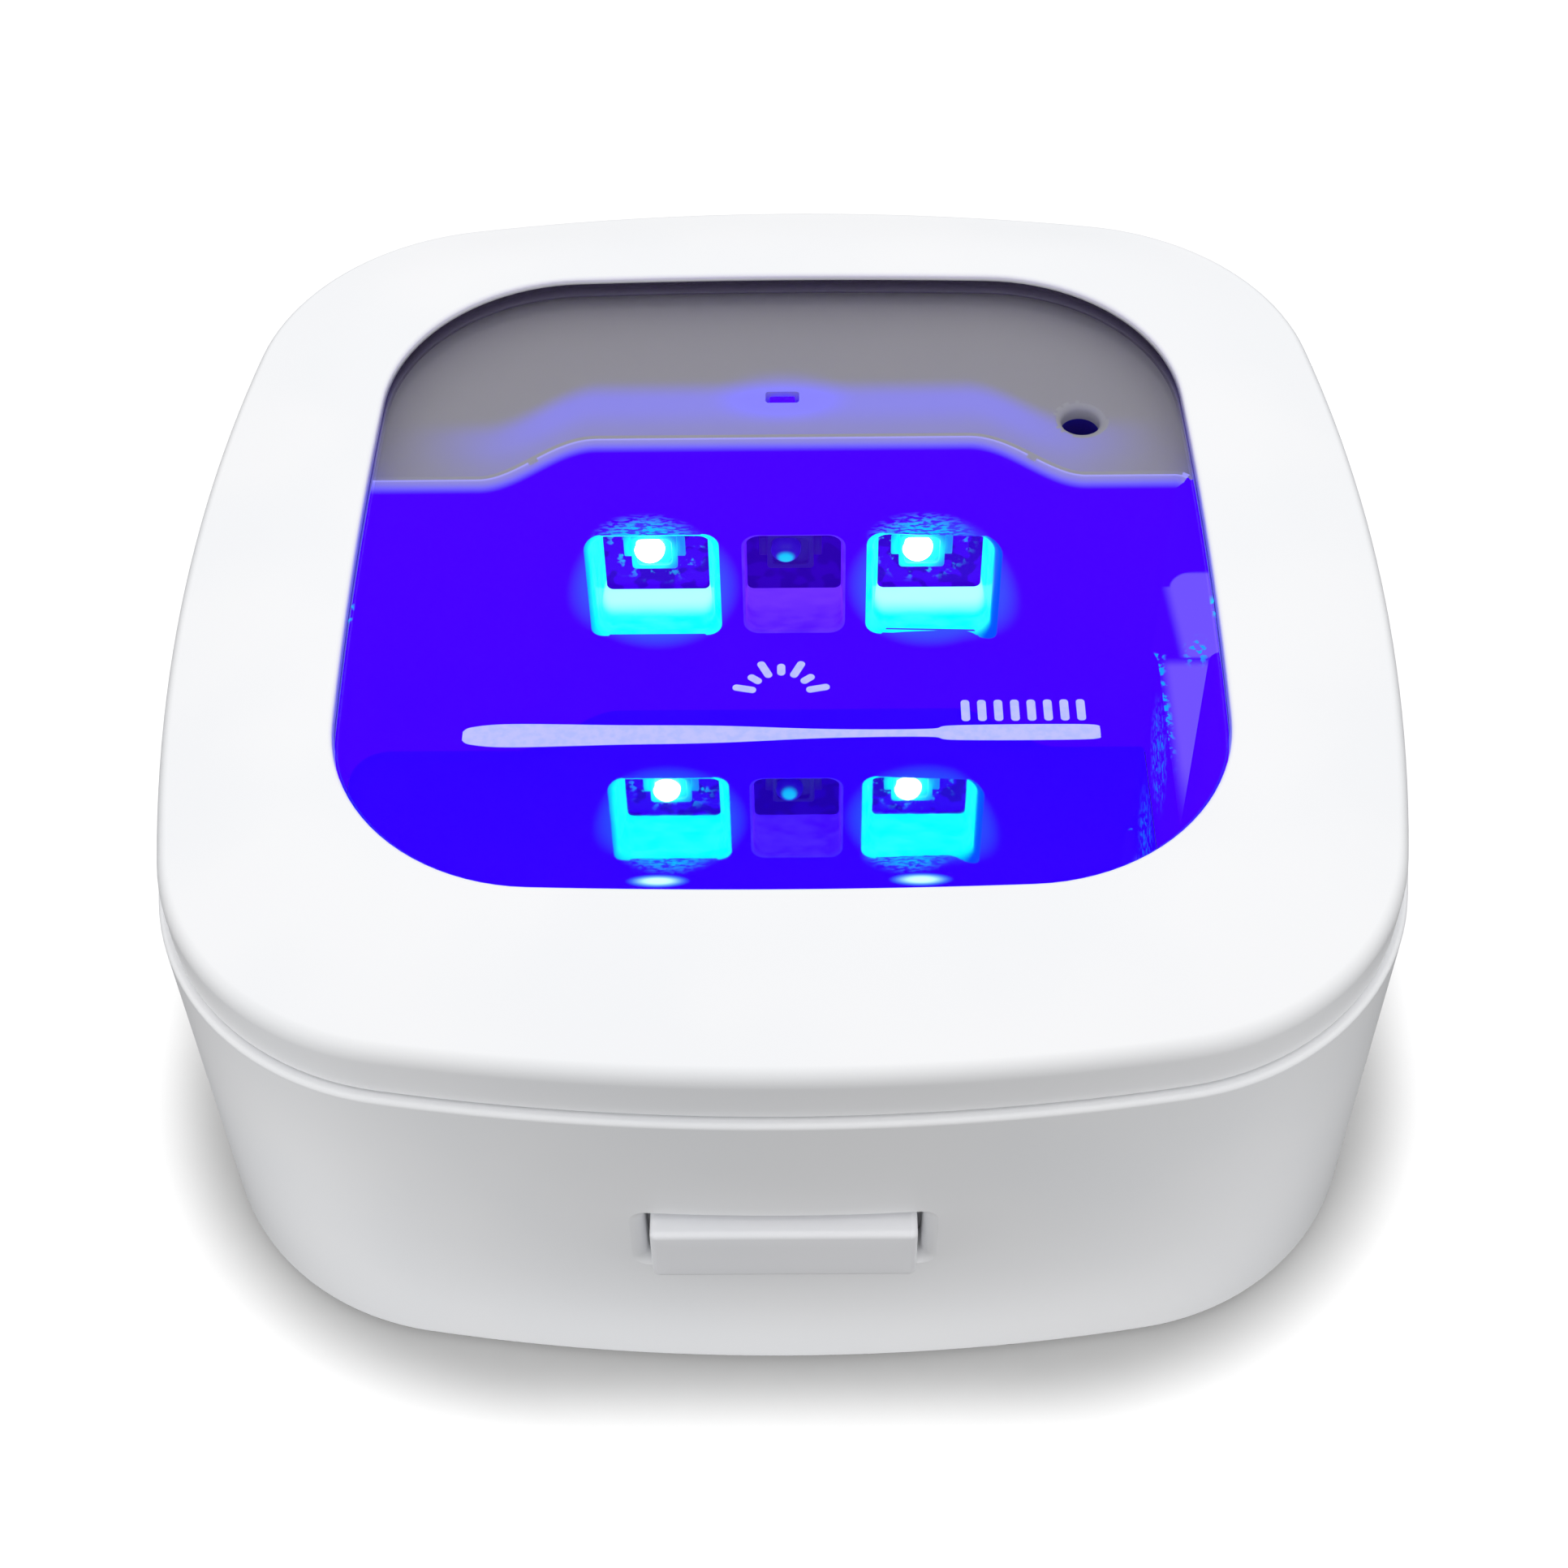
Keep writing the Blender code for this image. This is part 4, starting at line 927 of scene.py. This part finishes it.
def cross_screw(x, y, head_z, head_radius, shank_radius, length, up):
    """Pan-head screw with a cross slot.  up is 1 or -1, the way its head faces."""
    profile = [
        (0.25 * head_radius, 0.0), (0.6 * head_radius, -0.03), (0.85 * head_radius, -0.14),
        (head_radius, -0.34), (head_radius, -0.66), (shank_radius, -0.7),
    ]
    turns = int(length / 0.7)
    for i in range(turns):
        profile += [
            (shank_radius, -1.0 - 0.7 * i), (0.78 * shank_radius, -1.2 - 0.7 * i),
            (0.78 * shank_radius, -1.35 - 0.7 * i), (shank_radius, -1.55 - 0.7 * i),
        ]
    profile.append((0.3 * shank_radius, -length - 0.6))
    screw = lathe(profile, steps=32)
    arm, width = 0.62 * head_radius, 0.15 * head_radius
    for half_x, half_y in ((arm, width), (width, arm)):
        cut_block(screw, (-half_x, half_x), (-half_y, half_y), (-0.38, 0.5))
    if up < 0:
        move(screw, FACINGS["-Z"])
    move(screw, Matrix.Translation((x, y, head_z)))
    return screw


def make_screws():
    for name, (x, y) in corners(BOSS_AT).items():
        screw = cross_screw(x, y, 0.6, 1.55, 0.7, 7.6, -1)
        finish_piece(
            f"case_screw_{name}", screw, STEEL, "base", [f"cover_screw_{name}"]
        )
    screw = cross_screw(*TRAY_SCREW, 25.5, 1.05, 0.5, 7.2, 1)
    finish_piece("shelf_screw", screw, STEEL, "base", ["tray_screw"])


# --- chamber

def inside_chamber(x, y):
    """True within the chamber's outline, whose front left corner is widely rounded."""
    across = CHAMBER_LEFT - 0.6 < x < CHAMBER_RIGHT + 0.6
    along = CHAMBER_FRONT - 0.6 < y < lamp_wall_y(x) + 0.6
    return across and along and x + y > CHAMBER_LEFT + CHAMBER_FRONT + 5.2


def tray_skin(face):
    """0 plain, 1 lit chamber, 2 shelf, 3 lit passage, 4 bright cups, 5 the dim cup, 6 the screw well's
    painted shade.
    """
    x, y, z = face.center
    if z > SHELF_Z - 0.02:
        return 2
    if hypot(x - TRAY_SCREW[0], y - TRAY_SCREW[1]) < 1.5 and 20.0 < z < WELL_Z:
        return 6
    if abs(x) < 17.2 and lamp_wall_y(x) + 0.01 < y < BAY_FRONT_Y - 0.05 and 9.0 < z < 24.0:
        return 5 if abs(x - CUP_PLACES[0]) < 4.4 else 4
    if CHAMBER_RIGHT + 0.02 < x < 38.0 and PASSAGE_FRONT_Y - 0.1 < y < LAMP_WALL_SIDE_Y + 0.1:
        return 3 if z > PASSAGE_FLOOR_Z - 0.1 else 0
    return int(inside_chamber(x, y))


def make_tray():
    tray = plate(base_outline(TRAY_INSET), [chamber_outline()], TRAY_LOW_Z, SHELF_Z, 0.85, 0.15)
    rear = [(x, y) for x, y in base_outline(TRAY_INSET + 1.6) if y > BAY_FRONT_Y]
    rear += [(-33.0, BAY_FRONT_Y), (33.0, BAY_FRONT_Y)]
    combine(tray, loft([(rear, 1.5), (rear, BAY_Z[1])], False))
    cut_block(tray, (-BAY_HALF, BAY_HALF), (-39.0, FRONT_WALL_Y), BAY_Z)
    hook = rounded_rectangle((-4.2, 4.2), (-39.5, -34.6), 0.5)
    combine(tray, loft([(hook, 28.0), (hook, 30.2), (shrink(hook, -0.4), 30.9)], False))
    passage = rounded_rectangle((PASSAGE_FRONT_Y, LAMP_WALL_SIDE_Y), (PASSAGE_FLOOR_Z, 40.0), 0.8)
    combine(tray, along_axis("X", passage, (26.9, 39.5)))
    for side in (-1, 0, 1):
        combine(tray, lamp_cup(side))
    slit = rounded_rectangle((-1.2, 1.2), (18.8, 20.0), 0.25)
    combine(tray, loft([(slit, 28.0), (slit, 32.6)], False))
    recess = [
        (1.35, 24.0), (1.35, WELL_Z), (1.35, 30.05), (1.40, 30.2), (1.52, 30.36), (1.75, 30.46),
        (2.1, 30.52), (2.1, 32.0),
    ]
    combine(tray, lathe(recess, (*TRAY_SCREW, 0.0)))
    cut_rod(tray, (*TRAY_SCREW, 20.5), 0.85, 8.2)
    cut_block(tray, (-5.0, 5.0), (35.0, 39.2), (1.2, 11.2))
    for x, y in corners(BOSS_AT).values():
        cut_rod(tray, (x, y, 7.0), BOSS_RADIUS + 0.35, 11.0, steps=32)
    for side in (-1, 1):
        cut_rod(tray, (side * PAD_X, PAD_Y, 30.6), 1.8, 1.2)
    skins = [TRAY_WHITE, LAMP_LIT_VIOLET, SHELF, PASSAGE, CUP, MIDDLE_CUP, PAINTED_WELL_SHADE]
    finish_piece("tray", tray, skins, "base", ["chamber_tray"], tray_skin)


def lamp_cup(side):
    """Cutter for one lamp cup: it narrows backwards and flares softly into the wavy lamp wall."""
    front, back = (
        (CUP_FRONT_SIZE, CUP_BACK_SIZE) if side else (MID_CUP_FRONT_SIZE, MID_CUP_BACK_SIZE)
    )
    flare, arc_steps, last_angle = (0.55 if side else 0.25), 7, 80
    middle = CUP_PLACES[side]

    def ring(depth, grow, corner=1.2):
        share = max(0.0, depth) / (BAY_FRONT_Y - LAMP_WALL_MID_Y)
        width = (front[0] + (back[0] - front[0]) * share) / 2 + grow
        height = (front[1] + (back[1] - front[1]) * share) / 2 + grow
        points = rounded_rectangle(
            (middle - width, middle + width), (CUP_Z - height, CUP_Z + height), corner
        )
        follow = 1 - min(1.0, share)
        return [
            (x, LAMP_WALL_MID_Y + depth + follow * (lamp_wall_y(x) - LAMP_WALL_MID_Y), z)
            for x, z in points
        ]

    full_depth = BAY_FRONT_Y - LAMP_WALL_MID_Y
    rings = [ring(full_depth + 0.35, 0.0, 0.5), ring(full_depth, 0.0, 0.5)]
    for step in range(arc_steps + 1):
        turn = radians(last_angle * step / arc_steps)
        rings.append(ring(flare * (1 - sin(turn)), flare * (1 - cos(turn))))
    last = flare * (1 - cos(radians(last_angle)))
    rings.append(ring(-1.0, last + 0.15))
    return skin_rings(rings)


def make_mirror_floor():
    floor = plate(shrink(chamber_outline(), 0.12), [], FLOOR_Z - 0.5, FLOOR_Z, 0.06)
    finish_piece("mirror_floor", floor, MIRROR, "base", ["reflector_plate"])


# --- electronics

def stand_up(made, y):
    """Turns a flat solid made in X and Y so that it stands in X and Z, from y backwards."""
    move(made, Matrix.Translation((0, y, 0)) @ Matrix.Rotation(pi / 2, 4, "X"))


def make_lamp_board():
    holes = [circle((x, z), 0.7, 20) for x in (-16.6, 16.6) for z in (6.4, 25.6)]
    board = plate(rounded_rectangle((-18.0, 18.0), (5.0, 27.0), 1.0), holes, -1.2, 0.0, 0.08)
    stand_up(board, 18.9)
    finish_piece("lamp_board", board, LAMP_BOARD, "base", ["led_board"])
    dots, pads = [], []
    for x, z in RESISTOR_PLACES:
        dots.append(block((x - 0.8, x + 0.8), (18.45, 18.88), (z - 0.4, z + 0.4), 0.08))
        for end in (x - 1.0, x + 1.0):
            pads.append(block((end - 0.16, end + 0.16), (18.6, 18.89), (z - 0.42, z + 0.42), 0.06))
    finish_piece("board_resistors", gather(dots), CHIP, "base")
    finish_piece("board_solder", gather(pads), SOLDER, "base")


def make_lamp(side, name, half, core_skin, body_skin, replaced):
    """Square package with a raised frame, two solder wings and a domed lens."""
    x = LAMP_PLACES[side]
    dome_radius, dome_height = 1.15, 1.0

    def square(inset, rounding):
        size = half - inset
        return rounded_rectangle((x - size, x + size), (LAMP_Z - size, LAMP_Z + size), rounding)

    package = plate(square(0.0, 0.3), [square(0.4, 0.4)], 0.0, 0.62, 0.08)
    join(package, plate(square(0.3, 0.3), [], 0.0, 0.3, 0.05))
    stand_up(package, BAY_FRONT_Y)
    parts = [package]
    for middle in (x - half - 0.25, x + half + 0.25):
        parts.append(
            block((middle - 0.35, middle + 0.35), (18.5, 18.85), (LAMP_Z - 0.9, LAMP_Z + 0.9), 0.1)
        )
    finish_piece(f"{name}_package", gather(parts), body_skin, "base", [replaced])
    dome = [(dome_radius * cos(radians(a)), dome_height * sin(radians(a))) for a in range(0, 88, 8)]
    profile = [(dome_radius, -0.25)] + dome + [(0.02, dome_height)]
    lens = lathe(profile, (x - 0.35, 18.2, LAMP_Z + 0.2), "-Y")
    finish_piece(f"{name}_dome", lens, core_skin, "base")


def make_lamps():
    make_lamp(-1, "lamp_left", 1.7, LAMP_CORE, LAMP_BODY, "uv_led_left")
    make_lamp(1, "lamp_right", 1.7, LAMP_CORE, LAMP_BODY, "uv_led_right")
    make_lamp(0, "lamp_middle", 1.75, DIM_CORE, DIM_BODY, "uvc_led")


def make_small_parts():
    """Small moulded parts with round edges: their box, edge, skin, slot and CAD node."""
    for name, x, y, z, edge, skin, slot, replaced in (
        ("power_chip", (-9.5, -6.5), (25.0, 28.0), (7.35, 8.2), 0.1, CHIP, "chip_resin", "charger_chip"),
        ("control_chip", (-6.0, 0.0), (20.45, 21.3), (6.5, 11.5), 0.12, CHIP, "chip_resin", "mcu_chip"),
        ("lid_sensor", (16.5, 20.0), (-34.5, -31.0), (27.4, 28.7), 0.15, CHIP, "chip_resin", "hall_sensor"),
        ("status_lamp", (-0.8, 0.8), (19.0, 20.0), (27.3, 28.1), 0.12, CERAMIC, "lamp_package", "status_led"),
        ("pipe_tip", (-0.9, 0.9), (19.1, 19.7), (28.4, 30.35), 0.1, PIPE, "clear_window", "light_pipe"),
        ("foam_pad", (-12.0, 12.0), (23.9, 30.9), (25.7, 28.7), 0.5, FOAM, "foam", "battery_pad"),
    ):
        finish_piece(name, block(x, y, z, edge), skin, "base", [replaced])


def make_boards():
    holes = [circle((x, y), 0.6, 20) for x in (-9.8, 9.8) for y in (23.2, 33.6)]
    board = plate(rounded_rectangle((-11.0, 11.0), (22.0, 34.8), 0.8), holes, 5.8, 7.0, 0.08)
    finish_piece("power_board", board, BOARD, "base", ["charge_board"])
    legs = [
        block((x - 0.3, x + 0.3), (y - 0.16, y + 0.16), (7.02, 7.4), 0.05)
        for x in (-9.7, -6.3) for y in (25.4, 26.1, 26.9, 27.6)
    ]
    finish_piece("power_chip_legs", gather(legs), SOLDER, "base")
    coil = lathe(
        [(1.0, -0.5), (1.9, -0.5), (2.0, -0.4), (2.0, -0.25), (1.6, -0.2), (1.6, 0.2), (2.0, 0.25),
         (2.0, 0.4), (1.9, 0.5), (1.0, 0.5)], (9.0, 20.95, 10.0), "Y"
    )
    finish_piece("power_coil", coil, CHIP, "base", ["choke_coil"])


def make_socket():
    """Drawn-steel charging socket with its tongue and contacts."""
    shell = along_axis("Y", rounded_rectangle((-4.5, 4.5), (7.3, 10.5), 1.4), (30.9, 39.2))
    mouth = rounded_rectangle((-4.15, 4.15), (7.65, 10.15), 1.1)
    flared = rounded_rectangle((-4.3, 4.3), (7.5, 10.3), 1.2)
    combine(shell, skin_rings([
        [(x, y, z) for x, z in points] for points, y in ((mouth, 32.6), (mouth, 38.9), (flared, 39.6))
    ]))
    finish_piece("socket_shell", shell, STEEL, "base", ["usb_socket"])
    tongue = block((-3.2, 3.2), (32.7, 38.5), (8.6, 9.2), 0.12)
    finish_piece("socket_core", tongue, CHIP, "base")
    pins = [
        block((x - 0.12, x + 0.12), (34.0, 38.2), (level - 0.04, level + 0.04), 0.0)
        for x in (-2.5, -2.0, -1.25, -0.75, -0.25, 0.25, 0.75, 1.25, 2.0, 2.5) for level in (8.57, 9.23)
    ]
    finish_piece("socket_contacts", gather(pins), GOLD, "base")


def make_battery():
    half, y, z, radius = 20.0, 27.4, 19.4, 6.0
    profile = [
        (4.6, -half), (5.2, -half), (5.3, -half + 0.15), (5.75, -half + 0.2), (radius, -half + 0.5),
        (radius, -half + 1.8), (radius - 0.08, -half + 1.95), (radius - 0.08, -half + 2.4),
        (radius, -half + 2.55), (radius, half - 0.5), (5.75, half - 0.2), (5.3, half - 0.15),
        (5.2, half), (2.4, half), (2.2, half + 0.9), (2.0, half + 1.15), (0.4, half + 1.2),
    ]
    cell = lathe(profile, (0, y, z), "X", 72)
    finish_piece(
        "battery", cell, [CELL, STEEL], "base", ["battery_cell"],
        lambda face: int(abs(face.center.x) > half - 0.1)
    )
    cradle = block((-16.0, 16.0), (21.9, 32.9), (11.1, 16.0), 0.4)
    cut_rod(cradle, (0, y, z), radius + GAP, 60.0, "X", 72)
    for x in (-8.0, 8.0):
        cut_block(cradle, (x - 3.0, x + 3.0), (20.0, 35.0), (10.0, 12.4))
    finish_piece("cell_cradle", cradle, TRAY_WHITE, "base", ["battery_cradle"])


def make_wires():
    for name, lift, skin in (("red", 0.0, RED), ("black", -1.8, BLACK)):
        route = smooth_path([
            (-20.8, 27.0, 19.0 + lift), (-22.4, 26.0, 18.6 + lift), (-22.8, 23.4, 16.5 + lift),
            (-20.4, 21.3, 14.6 + lift), (-17.0, 20.95, 13.6 + lift), (-14.0, 20.95, 13.2 + lift),
        ])
        finish_piece(
            f"lead_{name}", tube(route, 0.45), skin, "base",
            [f"battery_lead_{name}"]
        )
    route = smooth_path([
        (13.5, 20.9, 9.0), (13.6, 22.0, 9.2), (13.2, 24.0, 9.3), (11.5, 25.4, 8.9), (9.5, 25.6, 8.2),
        (8.8, 25.6, 7.8),
    ])
    finish_piece("board_link", tube(route, 0.5), BLACK, "base", ["board_cable"])


def make_small_hardware():
    pin = rod((0, HINGE_Y, HINGE_Z), 0.7, 34.0, "X", 0.2)
    finish_piece("hinge_rod", pin, STEEL, "base", ["hinge_pin"])
    for side, name in ((-1, "left"), (1, "right")):
        pad = rod((side * PAD_X, PAD_Y, 30.48), 1.5, 0.36, "Z", 0.12)
        finish_piece(f"stop_pad_{name}", pad, RUBBER, "base", [f"bumper_{name}"])


# --- lid

def lid_rings():
    """Section of the lid, from its lower edge round the side and crown to the window and back."""
    edge_round, round_steps, crown_steps, lip = 0.95, 10, 12, 0.25
    shoulder = LID_SHOULDER_Z - LID_SIDE_Z
    low = LID_LOW_Z - 0.1
    rings = [(lid_outline(0.12), low), (lid_outline(0.04), low + 0.03)]
    rings += [(lid_outline(), z) for z in (low + 0.12, 29.4, LID_SIDE_Z)]
    for step in range(1, round_steps + 1):
        turn = radians(80 * step / round_steps)
        rings.append((lid_outline(edge_round * (1 - cos(turn))), LID_SIDE_Z + shoulder * sin(turn)))
    for step in range(1, crown_steps + 1):
        share = step / crown_steps
        points = blend_outlines(lid_outline(edge_round), window_outline(-0.3), share)
        height = LID_SHOULDER_Z + (LID_TOP_Z - LID_SHOULDER_Z) * sin(share * pi / 2)
        rings.append((points, height))
    for step in range(1, 5):
        turn = radians(90 * step / 4)
        rings.append((window_outline(-0.3 + 0.3 * sin(turn)), LID_TOP_Z - lip * (1 - cos(turn))))
    rings += [
        (window_outline(), LID_UNDER_Z),
        (lid_outline(LID_WALL), LID_UNDER_Z),
        (lid_outline(LID_WALL), low),
    ]
    return rings


def make_lid_skin():
    skin = loft(lid_rings())
    half = LID_KNUCKLE_HALF
    join(skin, rod((0, HINGE_Y, HINGE_Z), KNUCKLE_RADIUS, 2 * half, "X", 0.25, 48))
    join(skin, block((-half + 0.2, half - 0.2), (38.2, 40.5), (HINGE_Z, 29.4), 0.2))
    cut_rod(skin, (0, HINGE_Y, HINGE_Z), BORE_RADIUS, 40.0, "X")
    cut_rod(skin, (*MAGNET_AT, 31.7), 2.3, 1.1)
    finish_piece("lid_skin", skin, WHITE, "lid", ["lid_frame"])


def lens_skin(face):
    """The lens has clear faces, 0, and a cut edge, 1."""
    return int(abs(face.normal.z) < 0.98)


def make_lens():
    lens = plate(window_outline(0.12), [], LID_UNDER_Z, LENS_TOP_Z, 0.1)
    finish_piece("lens", lens, [LENS, LENS_EDGE], "lid", ["lid_window"], lens_skin)


def make_inner_frame():
    inner = plate(lid_outline(LID_WALL + 0.45), [window_outline(-1.0)], 30.95, 31.5, 0.12)
    join(inner, block((-3.5, 3.5), (-37.0, -36.1), (21.4, 31.2), 0.2))
    join(inner, block((-3.5, 3.5), (-36.6, -35.2), (21.4, 22.6), 0.2))
    finish_piece("hook_frame", inner, WHITE, "lid", ["lid_inner_frame"])


def make_neck_gate():
    gate_y = (PASSAGE_FRONT_Y + 0.5, LAMP_WALL_SIDE_Y - 0.5)
    gate = plate(base_outline(0.4), [], PASSAGE_TOP_Z, 30.65, 0.3)
    combine(gate, block((32.5, 41.0), gate_y, (15.0, 35.0), 0.0), "INTERSECT")
    cut_block(gate, (37.4, 42.0), (-20.0, 20.0), (RIM_Z - 0.2, 33.0))
    finish_piece("passage_gate", gate, WHITE, "lid", ["neck_gate"])


def make_lid_magnet():
    magnet = rod((*MAGNET_AT, 31.98), 2.0, 0.4, "Z", 0.12)
    finish_piece("magnet", magnet, STEEL, "lid", ["lid_magnet"])


def make_pictogram():
    """Printed toothbrush under a fan of short rays, in place of the maker's words."""
    low, high, rounding = LENS_TOP_Z + 0.005, LENS_TOP_Z + 0.045, 0.012
    brush_y, steps = -14.9, 10
    handle = (
        (-19.6, 0.35), (-19.0, 0.72), (-16.5, 0.95), (-10.0, 0.80), (-4.0, 0.70), (3.0, 0.36),
        (9.0, 0.32), (10.8, 0.60), (18.6, 0.62), (19.6, 0.30),
    )
    upper = smooth_path([(x, brush_y + half, 0.0) for x, half in handle], steps)
    lower = smooth_path([(x, brush_y - half, 0.0) for x, half in handle], steps)
    shape = [(p.x, p.y) for p in lower] + [(p.x, p.y) for p in reversed(upper)]
    pieces = [plate(shape, [], low, high, rounding)]
    tufts, tuft_pitch, tuft_half, tuft_height = 8, 1.02, 0.27, 1.75
    for i in range(tufts):
        x = 11.4 + tuft_pitch * i
        start = brush_y + 0.95
        tuft = rounded_rectangle((x - tuft_half, x + tuft_half), (start, start + tuft_height), 0.22)
        pieces.append(plate(tuft, [], low, high, rounding))
    rays, ray_turn = 7, 26
    for i in range(rays):
        lean = radians(90 + ray_turn * (i - (rays - 1) / 2))
        length = 1.0 if i % 2 else 1.5
        ray = rounded_rectangle((1.6, 1.6 + length), (-0.26, 0.26), 0.25)
        points = [Matrix.Rotation(lean, 2) @ Vector(point) for point in ray]
        pieces.append(plate([(p.x, p.y - 11.6) for p in points], [], low, high, rounding))
    finish_piece("lens_pictogram", gather(pieces), INK, "lid")


# --- button and latch

def make_button():
    half, (low, high) = BUTTON_HALF, BUTTON_Z
    edge, steps = 0.42, 6
    rings = [[(x, -37.1, z) for x, z in rounded_rectangle((-half, half), (low, high), edge)]]
    for step in range(steps + 1):
        turn = radians(90 * step / steps)
        inset = edge * (1 - cos(turn))
        points = shrink(rounded_rectangle((-half, half), (low, high), edge + 0.05), inset)
        rings.append([(x, BUTTON_FACE_Y + 0.04 + edge * (1 - sin(turn)), z) for x, z in points])
    points = shrink(rounded_rectangle((-half, half), (low, high), 1.3), 1.25)
    rings.append([(x, BUTTON_FACE_Y, z) for x, z in points])
    button = skin_rings(rings)
    join(button, block((-9.0, 9.0), (-37.4, -36.2), (low - 0.9, high + 0.9), 0.2))
    finish_piece("button_cap", button, BUTTON_WHITE, "button", ["push_button"])
    slider = block((-8.7, 8.7), (-35.9, -33.9), (6.3, 17.8), 0.3)
    join(slider, block((-3.4, 3.4), (-34.9, -33.5), (16.0, 24.6), 0.2))
    join(slider, block((-3.4, 3.4), (-35.8, -34.0), (22.9, 24.4), 0.2))
    finish_piece("latch", slider, TRAY_WHITE, "button", ["latch_slider"])


def make_latch_springs():
    """Coil springs behind the button, running towards the chamber's front wall."""
    turns, radius, start, end, travel, coil_steps = 5, 1.3, -33.4, -29.1, 1.5, 24
    steps = turns * coil_steps
    for side, name in ((-1, "left"), (1, "right")):
        path = []
        for step in range(steps + 1):
            angle = 2 * pi * step / coil_steps
            path.append((
                side * 6.0 + radius * cos(angle),
                start + (end - start) * step / steps,
                12.0 + radius * sin(angle),
            ))
        spring = finish_piece(
            f"button_spring_{name}", tube(path, 0.2, 8), STEEL, "base", [f"latch_spring_{name}"]
        )
        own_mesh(spring)


# --- stage

def make_camera():
    data = bpy.data.cameras.new("camera")
    data.lens = CAMERA_LENS
    camera = bpy.data.objects.new("camera", data)
    bpy.context.scene.collection.objects.link(camera)
    camera.matrix_world = (
        Matrix.Translation(Vector(CAMERA_PLACE) * MM)
        @ Matrix.Rotation(-CAMERA_YAW, 4, "Z")
        @ Matrix.Rotation(pi / 2 - CAMERA_DOWN, 4, "X")
        @ Matrix.Rotation(CAMERA_ROLL, 4, "Z")
    )
    bpy.context.scene.camera = camera


def make_floor():
    """White table paper that glows to stay bright, with a painted soft contact shadow round the base."""
    paint = Paint("floor_paper")
    # Painted contact shadow: the glow drops near the base's outline.
    distance = paint.minus(paint.from_core(15.0, 15.0, -0.8), 25.0)
    shade = paint.mix(paint.ease(distance, -1.0, 6.0), (0.19,) * 3, (0.80,) * 3)
    glow = paint.plus(shade, paint.times(paint.noise(0.4, 4.0), 0.02))
    relief = (paint.noise(2.0, 3.0), 0.01, 0.3)
    material = paint.coat((0.30, 0.30, 0.30), 0.9, relief, 0.1, (1.0, 1.0, 1.0, 1.0), glow)
    mesh = bmesh.new()
    bmesh.ops.create_grid(mesh, x_segments=1, y_segments=1, size=6.0)
    floor = solid(mesh)
    floor.name = "floor"
    floor.data.materials.append(material)
    floor.visible_diffuse = False
    floor.visible_glossy = False
    floor.visible_shadow = False


def add_area_light(name, place, target, size, power, squash=1.0):
    """Oval lamp that looks at target.  squash is its height over its width."""
    data = bpy.data.lights.new(name, "AREA")
    data.shape = "ELLIPSE"
    data.size = size
    data.size_y = size * squash
    data.energy = power
    light = bpy.data.objects.new(name, data)
    bpy.context.scene.collection.objects.link(light)
    light.location = place
    light.rotation_euler = (Vector(target) - Vector(place)).to_track_quat("-Z", "Y").to_euler()
    light.visible_camera = False
    light.visible_glossy = False


def make_lights():
    world = bpy.data.worlds.new("studio")
    bpy.context.scene.world = world
    world.use_nodes = True
    tree = world.node_tree
    facing = tree.nodes.new("ShaderNodeTexCoord")
    split = tree.nodes.new("ShaderNodeSeparateXYZ")
    share = tree.nodes.new("ShaderNodeMapRange")
    share.interpolation_type = "SMOOTHSTEP"
    for key, value in (("From Min", -0.10), ("From Max", 0.10), ("To Min", 0.03), ("To Max", 0.975)):
        share.inputs[key].default_value = value
    tree.links.new(facing.outputs["Generated"], split.inputs[0])
    tree.links.new(split.outputs["Z"], share.inputs["Value"])
    tree.links.new(share.outputs[0], tree.nodes["Background"].inputs["Strength"])
    tree.nodes["Background"].inputs["Color"].default_value = (1.0, 1.0, 1.0, 1.0)
    add_area_light("overhead", (0.0, 0.10, 0.90), (0.0, 0.0, 0.0), 0.5, 0.75)
    add_area_light("low_strip", (0.0, -0.048, 0.002), (0.0, -0.040, 0.002), 0.088, 0.00105, 0.05)
    add_area_light("left_card", (-0.048, -0.058, 0.014), (-0.026, -0.038, 0.016), 0.02, 0.0028)
    add_area_light("right_card", (0.048, -0.058, 0.014), (0.026, -0.038, 0.016), 0.02, 0.0021)
    bpy.context.scene.view_settings.view_transform = "Standard"


def main():
    make_camera()
    for make in (
        make_base_skin, make_bottom_cover, make_feet, make_screws, make_tray, make_mirror_floor,
        make_lamp_board, make_lamps, make_small_parts, make_boards, make_socket, make_battery,
        make_wires, make_small_hardware, make_lid_skin, make_lens, make_inner_frame, make_neck_gate,
        make_lid_magnet, make_pictogram, make_button, make_latch_springs, make_floor, make_lights,
    ):
        make()


main()
